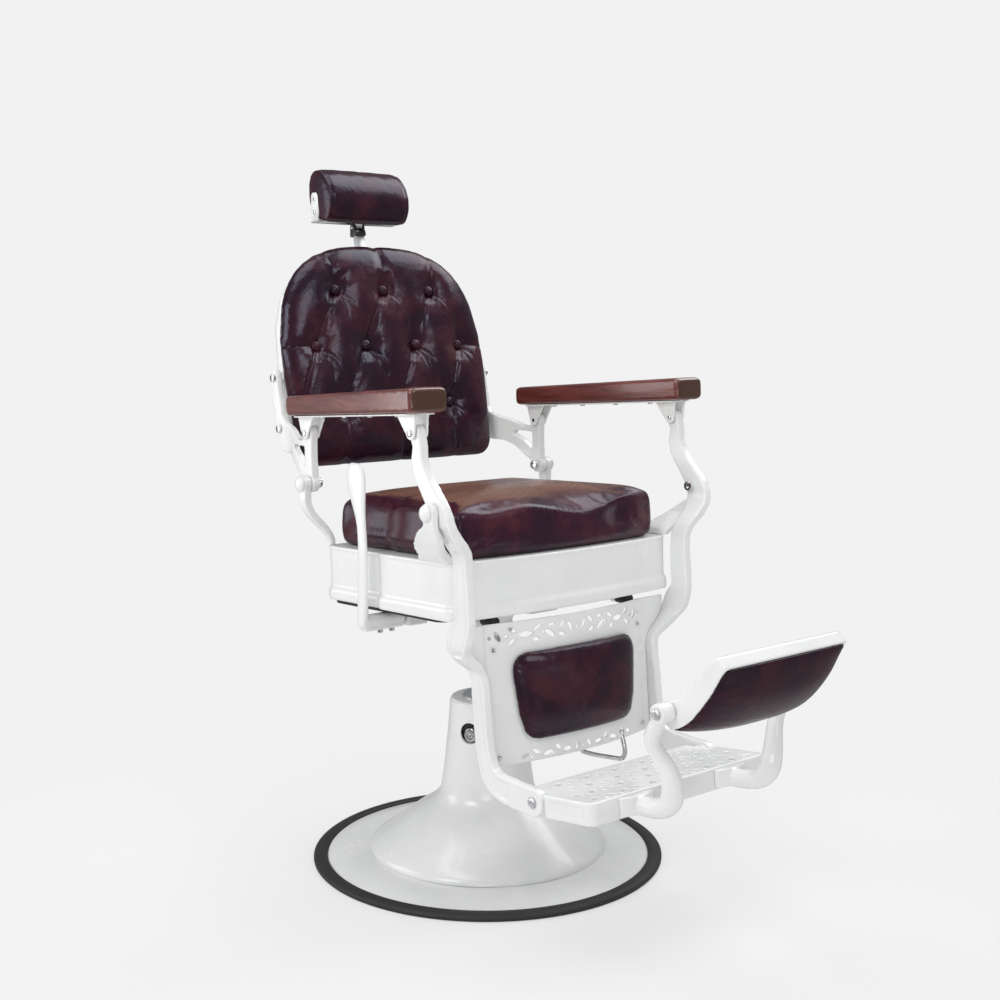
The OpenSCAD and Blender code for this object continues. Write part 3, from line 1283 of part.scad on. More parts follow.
base_ring();
base_disc();
pedestal();
pump_cylinder();
gland_collar();
pedestal_screw();
ram();
ram_head();
swivel_bearing();
saddle();
seat_base_plate();
apron();
seat_cushion();
right_front_post();
left_front_post();
right_rear_post();
left_rear_post();
front_pivot_bolts();
rear_pivot_bolts();
stop_barrels();
stop_rubbers();
lever_bearing();
hand_lever();
lever_shaft();
lever_bolts();
right_back_bracket();
left_back_bracket();
bracket_bolts();
back_shell();
back_cushion();
back_buttons();
headrest_guide();
headrest_bar();
headrest_clamp();
headrest_plate();
headrest_cushion();
headrest_screws();
headrest_pin();
right_arm_plate();
right_arm_wood();
right_arm_pins();
right_arm_screws();
left_arm_plate();
left_arm_wood();
left_arm_pins();
left_arm_screws();
right_crank();
left_crank();
kick_panel();
kick_cushion();
panel_screws();
pull_loop();
tread();
tread_bolts();
right_rest_arm();
left_rest_arm();
pad_tray();
pad_leather();
pad_pins();
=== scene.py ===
# %% [markdown]
# # A hydraulic barber chair
#
# The real chair is white enamelled iron, buttoned oxblood leather, varnished wood and a little
# chrome. Its solids come from the imported CAD model, which is the fixed frame for everything here:
# a piece is made where its solid is, in metres, and then rides on the body that carries it.

# %% Load the imported chair
import json
import math

import bmesh
import bpy
import numpy as np
from mathutils import Matrix, Vector


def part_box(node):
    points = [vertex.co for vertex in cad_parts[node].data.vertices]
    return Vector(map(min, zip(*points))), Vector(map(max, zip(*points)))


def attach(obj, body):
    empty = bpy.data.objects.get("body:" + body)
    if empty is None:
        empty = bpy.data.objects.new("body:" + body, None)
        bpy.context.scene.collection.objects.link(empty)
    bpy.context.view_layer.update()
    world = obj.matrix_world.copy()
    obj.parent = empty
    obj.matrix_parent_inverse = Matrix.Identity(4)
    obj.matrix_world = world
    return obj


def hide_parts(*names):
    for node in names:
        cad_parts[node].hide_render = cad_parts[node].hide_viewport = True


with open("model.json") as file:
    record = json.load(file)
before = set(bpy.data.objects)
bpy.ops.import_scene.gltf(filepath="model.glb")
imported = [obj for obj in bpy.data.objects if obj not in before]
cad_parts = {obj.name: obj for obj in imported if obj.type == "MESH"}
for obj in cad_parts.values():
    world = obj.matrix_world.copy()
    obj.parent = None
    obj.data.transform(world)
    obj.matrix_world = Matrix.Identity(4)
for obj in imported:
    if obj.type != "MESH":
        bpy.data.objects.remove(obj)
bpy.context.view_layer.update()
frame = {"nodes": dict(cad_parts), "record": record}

scene = bpy.context.scene
slot_of = {part["node"]: part["material_slot"] for part in frame["record"]["subparts"]}

# %% [markdown]
# ## The camera
#
# A chair of this kind is shown from the front corner, a little above the seat, with a short
# telephoto lens so that the arms don't flare. The camera's axes are written out as vectors,
# because a place and a direction say more than three angles do.

# %% Make the camera
eye = Vector((-1.7263, -2.1035, 1.0354))
forward = Vector((0.6363, 0.7616, -0.1233)).normalized()
up = Vector((0.0791, 0.0946, 0.9924))
right = forward.cross(up).normalized()
up = right.cross(forward)

camera_data = bpy.data.cameras.new("studio_camera")
camera_data.sensor_width = 36
camera_data.lens = 51.68
camera = bpy.data.objects.new("studio_camera", camera_data)
camera.matrix_world = Matrix((
    (right.x, up.x, -forward.x, eye.x),
    (right.y, up.y, -forward.y, eye.y),
    (right.z, up.z, -forward.z, eye.z),
    (0, 0, 0, 1)))
scene.collection.objects.link(camera)
scene.camera = camera
print("camera", tuple(round(v, 2) for v in eye), camera_data.lens, "mm")

# %% [markdown]
# ## Writing shaders as sums
#
# A shader is a net of boxes. It reads better as arithmetic, so one small class wraps a socket and
# lets Python's own signs add the Math boxes: `1 - mask` and `noise * 0.2 + 0.3` work as they
# look. Every other box comes from `Finish.node`, which takes the box's type, its settings and its
# inputs.

# %% A socket that can be added and multiplied
class Value:
    """One output socket of a finish."""

    def __init__(self, finish, socket):
        self.finish, self.socket = finish, socket

    def sum_of(self, operation, *terms):
        """One Math box, or a Vector Math box where the socket is a vector."""
        kind = "ShaderNodeVectorMath" if self.socket.type == "VECTOR" else "ShaderNodeMath"
        if kind == "ShaderNodeVectorMath":
            terms = [(t, t, t) if isinstance(t, (int, float)) else t for t in terms]
        return self.finish.node(kind, {"operation": operation}, dict(enumerate(terms)))

    def __add__(self, other):
        return self.sum_of("ADD", self, other)

    def __radd__(self, other):
        return self.sum_of("ADD", other, self)

    def __sub__(self, other):
        return self.sum_of("SUBTRACT", self, other)

    def __rsub__(self, other):
        return self.sum_of("SUBTRACT", other, self)

    def __mul__(self, other):
        return self.sum_of("MULTIPLY", self, other)

    def __rmul__(self, other):
        return self.sum_of("MULTIPLY", other, self)

# %% A finish: one material and its net of boxes
class Finish:
    """A material, named for what it is on the chair."""

    def __init__(self, name):
        self.material = bpy.data.materials.new(name)
        self.material.use_nodes = True
        self.tree = self.material.node_tree
        self.tree.nodes.clear()
        self.place = self.node("ShaderNodeTexCoord", out="Object")

    def node(self, kind, settings=None, inputs=None, out=0):
        """Adds one node. Its settings come first, because they decide which sockets it has."""
        made = self.tree.nodes.new(kind)
        for key, value in (settings or {}).items():
            if key == "stops":
                while len(made.color_ramp.elements) < len(value):
                    made.color_ramp.elements.new(0.5)
                for stop, (at, colour) in zip(made.color_ramp.elements, value):
                    stop.position = at
                    stop.color = (*colour, 1)
            else:
                setattr(made, key, value)
        for key, value in (inputs or {}).items():
            socket = made.inputs[key]
            if isinstance(value, Value):
                self.tree.links.new(value.socket, socket)
            elif socket.type == "RGBA" and len(value) == 3:
                socket.default_value = (*value, 1)
            else:
                socket.default_value = value
        return Value(self, made.outputs[out])

    def grains(self, size, detail=3, rough=0.5, at=None, warp=0):
        """Cloudy noise from 0 to 1 whose clouds are about size metres across."""
        return self.node("ShaderNodeTexNoise", {}, {
            "Vector": at or self.place, "Scale": 1 / size, "Detail": detail,
            "Roughness": rough, "Distortion": warp}, "Fac")

    def cells(self, size):
        """Distance to the middle of irregular cells of that size."""
        return self.node("ShaderNodeTexVoronoi", {"feature": "F1"}, {
            "Vector": self.place, "Scale": 1 / size}, "Distance")

    def step(self, value, low, high):
        """0 below low, 1 above high and smooth between."""
        return self.node("ShaderNodeMapRange", {"interpolation_type": "SMOOTHSTEP"}, {
            "Value": value, "From Min": low, "From Max": high}, "Result")

    def tint(self, mask, dark, light):
        """One colour where mask is 0 and another where it is 1."""
        return self.node("ShaderNodeMix", {"data_type": "RGBA"}, {0: mask, 6: dark, 7: light}, 2)

    def ramp(self, mask, stops):
        """A colour for each value of mask, from a list of (value, colour)."""
        return self.node("ShaderNodeValToRGB", {"stops": stops}, {"Fac": mask}, "Color")

    def relief(self, height, depth, below=None):
        """Surface normal of a relief, depth metres high."""
        inputs = {"Height": height, "Distance": depth, "Strength": 1.0}
        if below:
            inputs["Normal"] = below
        return self.node("ShaderNodeBump", {}, inputs, "Normal")

    def ends_in(self, shader):
        """Joins a shader to the material's output."""
        end = self.tree.nodes.new("ShaderNodeOutputMaterial")
        self.tree.links.new(shader.socket, end.inputs["Surface"])
        return self.material

    def surface(self, **inputs):
        """Ends the net in one Principled surface."""
        named = {key.replace("_", " "): value for key, value in inputs.items()}
        return self.ends_in(self.node("ShaderNodeBsdfPrincipled", {}, named, "BSDF"))


finishes = {}
print("a finish can be named for", sorted(set(slot_of.values())))

# %% [markdown]
# ## White enamel
#
# The castings are sprayed with a thick white enamel and baked. It is glossy, it lies in very low
# waves, and it is a little greyer where hands and cloths have been. A low, slow relief and a fine
# one give the gloss something to break on, and roughness changes with the same clouds. The
# pedestal has a round recess with a screw in it, whose floor is in deep shade; there the same
# enamel is tinted black by the distance from the recess's middle.

# %% White enamel
RECESS = (-0.0608, -0.0258, 0.258)      # middle of the round recess in the pedestal's side
RECESS_SHADE = (0.0202, 0.0210)         # the painted shade ends between these distances from it


def enamel(name="white_enamel", recess=None):
    paint = Finish(name)
    slow = paint.grains(0.035, 2)
    fine = paint.grains(0.0022, 2)
    handled = paint.grains(0.09, 4, 0.6)
    colour = paint.ramp(handled, [
        (0.25, (0.80, 0.815, 0.80)), (0.6, (0.845, 0.85, 0.84)), (1, (0.86, 0.86, 0.85))])
    bump = paint.relief(fine, 0.00002, paint.relief(slow, 0.00035))
    # painted shade: the floor of the pedestal's recess is tinted near black, standing in for the
    # shade in it
    if recess:
        away = paint.node("ShaderNodeVectorMath", {"operation": "DISTANCE"},
                          {0: paint.place, 1: recess}, "Value")
        colour = paint.tint(paint.step(away, *RECESS_SHADE), (0.012, 0.012, 0.014), colour)
    return paint.surface(
        Base_Color=colour, Roughness=paint.step(handled, 0.2, 0.9) * 0.10 + 0.20,
        Normal=bump, Specular_IOR_Level=0.5, Coat_Weight=0.35, Coat_Roughness=0.06)


finishes["enamel"] = enamel()
finishes["dark_recess_enamel"] = enamel("enamel_with_dark_recess", RECESS)
print("white enamel, and one with a dark recess")

# %% [markdown]
# ## Oxblood leather
#
# The hide is dyed dark, rubbed back in clouds so that red and brown come through, and waxed to a
# shine. Where people sit, the wax has worn to a lighter brown; that tint goes on faces that look
# up, so it is also a painted sheen. The clouds are two noises of different size; the grain is fine
# cells, much shallower than it is wide.

# %% Oxblood leather
DYES = [(0.30, (0.011, 0.004, 0.009)), (0.44, (0.020, 0.005, 0.011)), (0.54, (0.033, 0.006, 0.012)),
        (0.66, (0.054, 0.011, 0.015)), (0.80, (0.082, 0.022, 0.019))]


def leather(name, wear_and_sheen=0.0, red=1.0):
    """Input two, 0 to 1, tints upward faces brown, for wear and a painted sheen; red brightens
    dyes.
    """
    hide = Finish(name)
    clouds = hide.grains(0.10, 4, 0.55, warp=0.5)
    small = hide.grains(0.028, 3, 0.5, warp=0.4)
    mottle = clouds * 0.74 + small * 0.26
    colour = hide.ramp(mottle, [(at, [red * c for c in dye]) for at, dye in DYES])
    # painted sheen, partly real wear: faces that look up are tinted a lighter brown
    if wear_and_sheen:
        facing = hide.node("ShaderNodeTexCoord", out="Normal")
        upward = hide.node("ShaderNodeSeparateXYZ", {}, {0: facing}, "Z")
        rubbed_and_sheen = hide.step(upward, 0.90, 0.995) * hide.step(clouds, 0.2, 0.55) * wear_and_sheen
        colour = hide.tint(rubbed_and_sheen, colour, (0.235, 0.115, 0.075))
    grain = hide.cells(0.0021) * 0.6 + hide.grains(0.0012, 2) * 0.4
    soft = hide.grains(0.012, 3)
    bump = hide.relief(grain, 0.00011, hide.relief(soft, 0.0006))
    return hide.surface(
        Base_Color=colour, Roughness=hide.step(mottle, 0.35, 0.75) * 0.12 + 0.22,
        Normal=bump, Specular_IOR_Level=0.36, Specular_Tint=(0.72, 0.79, 1.0),
        Coat_Weight=0.1, Coat_Roughness=0.12)


finishes["leather"] = leather("oxblood_leather")
finishes["seat_leather"] = leather("worn_oxblood_leather", 0.8, 1.5)
print("oxblood leather, and a worn one for the seat")

# %% [markdown]
# ## Varnished wood
#
# The arm boards are a red hardwood under clear varnish. Wood is a bundle of long fibres, so noise
# that is stretched along the board draws its rings and pores, and the ends, where the fibres are
# cut across, drink more varnish and look darker.

# %% Varnished wood
BOARD_SLOPE = math.radians(3.6)         # the boards fall a little towards the back


def varnished_wood():
    board = Finish("varnished_wood")
    stretched = board.node("ShaderNodeMapping", {}, {
        "Vector": board.place, "Rotation": (BOARD_SLOPE, 0, 0), "Scale": (1, 0.07, 1)}, "Vector")
    rings = board.grains(0.009, 4, 0.6, stretched, 0.8)
    pores = board.grains(0.0011, 2, 0.5, stretched)
    bands = board.grains(0.03, 3, 0.55, stretched, 1.2)
    figure = rings * 0.45 + bands * 0.4 + pores * 0.15
    colour = board.ramp(figure, [
        (0.32, (0.055, 0.011, 0.010)), (0.47, (0.115, 0.025, 0.021)),
        (0.58, (0.175, 0.043, 0.034)), (0.75, (0.25, 0.078, 0.055))])
    facing = board.node("ShaderNodeTexCoord", out="Normal")
    rearward = board.node("ShaderNodeSeparateXYZ", {}, {0: facing}, "Y")
    end_grain = board.step(rearward * -1, 0.6, 0.9)
    colour = board.tint(end_grain * 0.85, colour, (0.050, 0.020, 0.007))
    return board.surface(
        Base_Color=colour, Roughness=pores * 0.12 + 0.26, Normal=board.relief(pores, 0.00006),
        Specular_IOR_Level=0.5, Coat_Weight=0.8, Coat_Roughness=0.14)


finishes["wood"] = varnished_wood()
print("varnished wood")

# %% [markdown]
# ## Chrome and steel
#
# Chrome is nearly a mirror, with a little haze from years of wiping. The headrest's bar and the
# stop barrels are plated over a rougher ground, so they shine more softly. Ground steel keeps the
# fine lines that the stone left, all in one direction, so its noise is squeezed along one axis.

# %% Chrome and steel
def chrome():
    plate = Finish("bright_chrome")
    haze = plate.grains(0.02, 4, 0.6)
    return plate.surface(
        Base_Color=plate.tint(haze, (0.62, 0.63, 0.64), (0.80, 0.81, 0.82)), Metallic=1.0,
        Roughness=haze * 0.14 + 0.06, Normal=plate.relief(plate.grains(0.001, 2), 0.000008))


def satin_chrome():
    plate = Finish("satin_chrome")
    haze = plate.grains(0.012, 4, 0.6)
    return plate.surface(
        Base_Color=plate.tint(haze, (0.78, 0.79, 0.80), (0.92, 0.92, 0.93)), Metallic=0.85,
        Roughness=haze * 0.18 + 0.22, Normal=plate.relief(plate.grains(0.001, 2), 0.000008))


def ground_steel():
    steel = Finish("ground_steel")
    lines = steel.node("ShaderNodeMapping", {}, {
        "Vector": steel.place, "Scale": (1, 1, 12)}, "Vector")
    marks = steel.grains(0.004, 3, 0.6, lines)
    return steel.surface(
        Base_Color=steel.tint(marks, (0.55, 0.555, 0.56), (0.78, 0.785, 0.79)), Metallic=0.8,
        Roughness=marks * 0.2 + 0.28, Normal=steel.relief(marks, 0.00003))


finishes["chrome"] = chrome()
finishes["satin_chrome"] = satin_chrome()
finishes["steel"] = ground_steel()
print("two chromes and a steel")

# %% [markdown]
# ## Rubber and black paint
#
# The ring on the floor is matt rubber, greyed by dust. The iron under the seat is painted black.
# Both are dark and nearly plain, so what shows is where dust or wear changes the gloss.

# %% Rubber and black paint
def rubber():
    tyre = Finish("black_rubber")
    dust = tyre.grains(0.03, 5, 0.65)
    return tyre.surface(
        Base_Color=tyre.tint(dust, (0.010, 0.010, 0.011), (0.032, 0.032, 0.033)),
        Roughness=dust * 0.2 + 0.45, Normal=tyre.relief(tyre.grains(0.0012, 2), 0.00005))


def black_paint():
    coat = Finish("black_paint")
    wear = coat.grains(0.02, 5, 0.6)
    return coat.surface(
        Base_Color=coat.tint(wear, (0.012, 0.012, 0.013), (0.03, 0.03, 0.031)),
        Roughness=wear * 0.2 + 0.3, Normal=coat.relief(coat.grains(0.0015, 2), 0.00005))


finishes["rubber"] = rubber()
finishes["black_paint"] = black_paint()
print("rubber and black paint")

# %% [markdown]
# ## Paint every solid
#
# The record names a material slot for each solid. Each slot has its finish; three finishes are
# variants of another slot's.

# %% Paint every solid
for node, solid in frame["nodes"].items():
    solid.data.materials.clear()
    solid.data.materials.append(finishes[slot_of[node]])
print(len(finishes), "finishes on", len(frame["nodes"]), "solids")

# %% [markdown]
# ## Softened castings
#
# A casting has no sharp edge: sand and enamel round everything to two or three millimetres. A
# bevel would do for a box, but it fails where many curved faces meet. So the solid is copied,
# remeshed in small voxels and relaxed, which rounds every edge alike. The sitter's right side is
# the left one mirrored, so each shape is worked once.

# %% Copy and weld a mesh
def linked(name, data):
    """A new object of the scene, with that mesh or light."""
    piece = bpy.data.objects.new(name, data)
    scene.collection.objects.link(piece)
    return piece


def closed_mesh(name, work):
    """A new object from a bmesh whose faces then all point outwards."""
    bmesh.ops.recalc_face_normals(work, faces=work.faces)
    mesh = bpy.data.meshes.new(name)
    work.to_mesh(mesh)
    work.free()
    return linked(name, mesh)


def copied(node, ending="_cast"):
    """A new object with a copy of a solid's mesh."""
    return linked(node + ending, frame["nodes"][node].data.copy())


def welded(piece, gap=0.00002):
    """Joins the corners that faces share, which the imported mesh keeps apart."""
    work = bmesh.new()
    work.from_mesh(piece.data)
    bmesh.ops.remove_doubles(work, verts=work.verts, dist=gap)
    bmesh.ops.recalc_face_normals(work, faces=work.faces)
    work.to_mesh(piece.data)
    work.free()
    return piece


print("mesh helpers are ready")


# %% Apply modifiers and dress a piece
def applied(piece):
    """Turns the piece's modifiers into mesh."""
    graph = bpy.context.evaluated_depsgraph_get()
    mesh = bpy.data.meshes.new_from_object(piece.evaluated_get(graph))
    piece.modifiers.clear()
    piece.data = mesh
    return piece


def smooth_faces(piece):
    """Shades a piece's faces as one curved skin."""
    piece.data.polygons.foreach_set("use_smooth", [True] * len(piece.data.polygons))


def dress(piece, slot, body, *nodes):
    """Gives a piece its finish and its body, and hides the solids that it stands for."""
    piece.data.materials.clear()
    piece.data.materials.append(finishes[slot])
    smooth_faces(piece)
    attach(piece, body)
    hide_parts(*nodes)


# %% Soften and mirror a casting
def remeshed(piece, size, passes):
    """Remeshes a piece in voxels and relaxes it, as two modifiers."""
    remesh = piece.modifiers.new("voxels", "REMESH")
    remesh.mode = "VOXEL"
    remesh.voxel_size = size
    relax = piece.modifiers.new("relax", "SMOOTH")
    relax.factor = 0.5
    relax.iterations = passes
    return piece


def softened(node, voxel, passes):
    """A copy of a casting whose edges are rounded by remeshing and relaxing."""
    piece = remeshed(welded(copied(node)), voxel, passes)
    piece.modifiers.new("thin", "DECIMATE").ratio = 0.5
    applied(piece)
    print(node, len(piece.data.polygons), "faces")
    return piece


def mirrored(piece, name):
    """The same piece on the other side of the chair."""
    mesh = piece.data.copy()
    mesh.transform(Matrix.Scale(-1, 4, (1, 0, 0)))
    mesh.flip_normals()
    return linked(name, mesh)


print("a casting is softened once and mirrored for the other side")

# %% The paired castings: voxel size in metres and passes of relaxing
body_of = {node: body for body, nodes in frame["record"]["behaviour"]["bodies"].items()
           for node in nodes}
PAIRS = {"crank": (0.0018, 8), "front_post": (0.0018, 8), "rear_post": (0.0018, 8),
         "back_bracket": (0.0018, 7), "rest_arm": (0.002, 10), "arm_plate": (0.0012, 3)}
for kind, (voxel, passes) in PAIRS.items():
    left = softened("left_" + kind, voxel, passes)
    other = mirrored(left, "right_" + kind + "_cast")
    dress(left, "enamel", body_of["left_" + kind], "left_" + kind)
    dress(other, "enamel", body_of["right_" + kind], "right_" + kind)

# %% The single castings
SINGLE = {"apron": (0.0017, 2), "kick_panel": (0.0014, 3), "tread": (0.0016, 3),
          "hand_lever": (0.0018, 8), "lever_bearing": (0.002, 5), "saddle": (0.003, 5),
          "pad_tray": (0.0018, 4), "back_shell": (0.0024, 5)}
for node, (voxel, passes) in SINGLE.items():
    dress(softened(node, voxel, passes), "enamel", body_of[node], node)

# %% [markdown]
# ## Turned and bent hardware
#
# Bolts, rings and rods keep their solids' forms. A copy gets its flat triangles joined, a small
# bevel on every edge and smooth shading between them, so that each edge catches a line of light.
# Voxels fine enough for a screw would be far too many for a ring.

# %% Ease the edges of a solid
FLAT = math.radians(1.5)        # faces that meet at less are one face
CORNER = math.radians(32)       # edges that turn by more get a bevel
CREASE = math.radians(50)       # and edges that turn by more than this stay crisp


def eased(node, width, slot=None):
    """A copy of a solid with a bevel of that width on its edges."""
    piece = welded(copied(node, "_eased"))
    work = bmesh.new()
    work.from_mesh(piece.data)
    bmesh.ops.dissolve_limit(work, angle_limit=FLAT, verts=work.verts, edges=work.edges)
    work.to_mesh(piece.data)
    work.free()
    bevel = piece.modifiers.new("ease", "BEVEL")
    bevel.limit_method = "ANGLE"
    bevel.angle_limit = CORNER
    bevel.width = width
    bevel.segments = 2
    applied(piece)
    dress(piece, slot or slot_of[node], body_of[node], node)
    piece.data.set_sharp_from_angle(angle=CREASE)


# %% Ease the hardware: the width of each solid's bevel, in metres
EASED = {
    "base_ring": 0.0012, "base_disc": 0.0012, "pedestal": 0.0012, "gland_collar": 0.0006,
    "ram": 0.0006, "seat_base_plate": 0.0015, "front_pivot_bolts": 0.0006,
    "rear_pivot_bolts": 0.0006, "stop_barrels": 0.0006, "stop_rubbers": 0.0008,
    "lever_shaft": 0.0006, "lever_bolts": 0.0005, "bracket_bolts": 0.0006,
    "headrest_bar": 0.0008, "headrest_clamp": 0.0008, "headrest_plate": 0.0008,
    "headrest_screws": 0.0006, "headrest_pin": 0.0005, "left_arm_pins": 0.0005,
    "right_arm_pins": 0.0005, "left_arm_screws": 0.0005, "right_arm_screws": 0.0005,
    "panel_screws": 0.0005, "tread_bolts": 0.0006, "pad_pins": 0.0006,
    "pedestal_screw": 0.0005, "pull_loop": 0.0003}
SPECIAL = {"pedestal": "dark_recess_enamel", "headrest_bar": "satin_chrome",
           "stop_barrels": "satin_chrome"}
for node, width in EASED.items():
    eased(node, width, SPECIAL.get(node))
print(len(EASED), "solids eased")

# %% [markdown]
# ## Small turned parts
#
# Screw heads and buttons are turned forms: a profile swept round an axis. A screw modifier could
# sweep it too, but a loop over rings can also bend some of them: rings named in `six` are made
# six-sided, which gives a screw the socket for its key, and a sunk cross gives one its slots.

# %% Sweep a profile round an axis
UPRIGHT = Matrix.Identity(4)      # the frame of a piece that is drawn where it stands
TOWARDS = {"Z": Matrix.Identity(3), "X": Matrix.Rotation(math.pi / 2, 3, "Y"),
           "-X": Matrix.Rotation(-math.pi / 2, 3, "Y")}
CROSS_DEEP, CROSS_LONG = 0.0016, 0.0042      # depth of a sunk cross, and half its length
SIXTH = math.pi / 3


def turning(name, profile, places, own=UPRIGHT, axis="Z", sides=28, six=(), cross=0.0):
    """Copies of a turned form. profile is [radius, height]; rings in six are six-sided, and a
    cross of that half width is sunk into the middle."""
    swing = TOWARDS[axis]
    work = bmesh.new()
    for place in places:
        rings = []
        for i, (radius, height) in enumerate(profile):
            ring = []
            for k in range(sides):
                a = 2 * math.pi * k / sides
                flat = math.cos(SIXTH / 2) / math.cos(a % SIXTH - SIXTH / 2) if i in six else 1
                x, y = radius * flat * math.cos(a), radius * flat * math.sin(a)
                in_cross = min(abs(x), abs(y)) < cross and radius < CROSS_LONG and height > 0
                sunk = CROSS_DEEP if in_cross else 0
                at = own @ (Vector(place) + swing @ Vector((x, y, height - sunk)))
                ring.append(work.verts.new(at))
            rings.append(ring)
        for low, high in zip(rings, rings[1:]):
            for k in range(sides):
                work.faces.new((low[k], low[(k + 1) % sides], high[(k + 1) % sides], high[k]))
        work.faces.new(rings[0][::-1])
        work.faces.new(rings[-1])
    return closed_mesh(name, work)


print("a turned form can point", list(TOWARDS))

# %% [markdown]
# ## Screw heads
#
# Two screws a side hold the pivots, with sockets for a six-sided key. The pins of the leg pad and
# the step's bolts end in domed heads with a cross.

# %% Socket screws of the pivots
SOCKET_HEAD = [
    (0.0086, -0.002), (0.0092, 0.0002), (0.0092, 0.0030), (0.0086, 0.0038), (0.0052, 0.0040),
    (0.0050, 0.0036), (0.0048, 0.0012), (0.0010, 0.0008)]
PIVOT_SCREWS = [(0.2945, -0.246, 0.7245), (0.269, 0.172, 0.735)]     # on the left; mirrored
for name, side, axis in (("left", 1, "-X"), ("right", -1, "X")):
    places = [(side * x, y, z) for x, y, z in PIVOT_SCREWS]
    heads = turning(name + "_pivot_screws", SOCKET_HEAD, places, axis=axis, six=(4, 5, 6))
    heads.data.materials.append(finishes["chrome"])
    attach(heads, "seat")
print("four socket screws")

# %% Cross heads of the pins and bolts
CROSS_HEAD = [
    (0.0080, -0.001), (0.0084, 0.0004), (0.0080, 0.0014), (0.0070, 0.0022), (0.0058, 0.0027),
    (0.0046, 0.0030), (0.0040, 0.0031), (0.0034, 0.0032), (0.0028, 0.0032), (0.0022, 0.0033),
    (0.0016, 0.0033), (0.0010, 0.0033), (0.0004, 0.0033)]
CROSS_ARM = 0.0011      # half the width of the cross
for node in ("pad_pins", "tread_bolts"):
    low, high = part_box(node)
    middle = ((low[1] + high[1]) / 2, (low[2] + high[2]) / 2)
    for side, x, axis in (("right", low[0], "-X"), ("left", high[0], "X")):
        heads = turning(side + "_" + node + "_head", CROSS_HEAD, [(x, *middle)],
                        axis=axis, sides=32, cross=CROSS_ARM)
        heads.data.materials.append(finishes["satin_chrome"])
        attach(heads, body_of[node])
print("four cross heads")

# %% [markdown]
# ## The arm boards
#
# Each board is a plain plank whose edges are taken off with a plane and whose ends are cut square
# and rounded. Remeshing and relaxing its solid gives the same soft edge that sandpaper does.

# %% The arm boards
left_board = softened("left_arm_wood", 0.0022, 5)
right_board = mirrored(left_board, "right_arm_wood_cast")
dress(left_board, "wood", body_of["left_arm_wood"], "left_arm_wood")
dress(right_board, "wood", body_of["right_arm_wood"], "right_arm_wood")
print("two arm boards")

# %% [markdown]
# ## Places for the soft pieces
#
# A seam or a button is easy to place when the cushion lies flat: so many millimetres across and
# so many up. Each cushion therefore gets its own frame, the same one that its solid was drawn in,
# and its points are read into that frame, moved there and put back.

# %% The frames
def turned(place, *angles):
    """A frame at a place, turned about its own X by each angle in degrees."""
    made = Matrix.Translation(place)
    for angle in angles:
        made = made @ Matrix.Rotation(math.radians(angle), 4, "X")
    return made


SEAT = turned((0, 0, 0.521), -2.3)
BACK = turned((0, 0.279, 0.752), -12.5, 90)
PANEL = turned((0, -0.252, 0.519), -5.2, 90)
PAD = turned((0, -0.618, 0.440), 132)
print("frames of the seat, the back, the kick panel and the leg pad")


# %% Read and move the points of a piece
def points_in(piece, own):
    """The piece's points in its own frame, as rows of x, y, z."""
    flat = np.empty(len(piece.data.vertices) * 3)
    piece.data.vertices.foreach_get("co", flat)
    turn = np.array(own.inverted())
    return flat.reshape(-1, 3) @ turn[:3, :3].T + turn[:3, 3]


def put_points(piece, own, points):
    """Moves the piece's points to rows of x, y, z in its own frame."""
    turn = np.array(own)
    piece.data.vertices.foreach_set("co", (points @ turn[:3, :3].T + turn[:3, 3]).ravel())
    piece.data.update()


def rise(value, low, high):
    """0 below low, 1 above high and smooth between, for numbers."""
    t = np.clip((value - low) / (high - low), 0, 1)
    return t * t * (3 - 2 * t)


print("half way up a rise from 0 to 1:", float(rise(0.5, 0, 1)))

# %% [markdown]
# ## Stuffing
#
# A cushion is a skin under pressure. The solid gives the form; a cloth simulation with pressure
# and no gravity then lets the skin swell between the places where it is held: its board, its
# buttons and its creases. How far a point may travel is capped, so that it stays between its
# neighbours.

# %% Swell a cushion
GRIPS = 10              # levels of holding, from free to fixed
STEPS = 20              # frames that the cloth is given


def stuffed(piece, own, held, cap, pressure=4.0, sideways=1.0):
    """Swells the piece by cloth pressure. held gives 0 to 1 for each point: 1 stays where it is."""
    start = points_in(piece, own)
    grip = held(start)
    group = piece.vertex_groups.new(name="held")
    for level in range(1, GRIPS + 1):
        chosen = np.where(np.round(grip * GRIPS) == level)[0].tolist()
        if chosen:
            group.add(chosen, level / GRIPS, "REPLACE")
    skin = piece.modifiers.new("stuffing", "CLOTH")
    skin.settings.quality = 4
    skin.settings.use_pressure = True
    skin.settings.uniform_pressure_force = pressure
    skin.settings.effector_weights.gravity = 0
    skin.settings.vertex_group_mass = "held"
    skin.collision_settings.use_collision = False
    skin.point_cache.frame_end = STEPS
    for step in range(1, STEPS + 1):
        scene.frame_set(step)
    applied(piece)
    scene.frame_set(1)
    piece.vertex_groups.clear()
    moved = (points_in(piece, own) - start) * (sideways, sideways, 1)
    length = np.linalg.norm(moved, axis=1, keepdims=True)
    moved *= cap * np.tanh(length / cap) / np.maximum(length, 1e-9) * (1 - grip)[:, None]
    put_points(piece, own, start + moved)
    furthest = float(np.linalg.norm(moved, axis=1).max())
    print(piece.name, "swells by up to", round(furthest * 1000, 1), "mm")
    return piece


# %% [markdown]
# ## Remeshing and creases
#
# Cloth needs even faces, so a cushion is remeshed before it swells and divided once after it.
# Creases come last, because voxels would fill anything so narrow. A crease is a valley along a
# line, with a low lip on both sides where the hide is pushed up; it is worked out for every point
# of the hide at once.

# %% Remesh and divide
def voxelled(node, size, relax=2):
    """A remeshed copy of a cushion's solid."""
    return applied(remeshed(welded(copied(node, "_hide")), size, relax))


def finer(piece):
    """Divides every face in four."""
    piece.modifiers.new("finer", "SUBSURF").levels = 1
    return applied(piece)


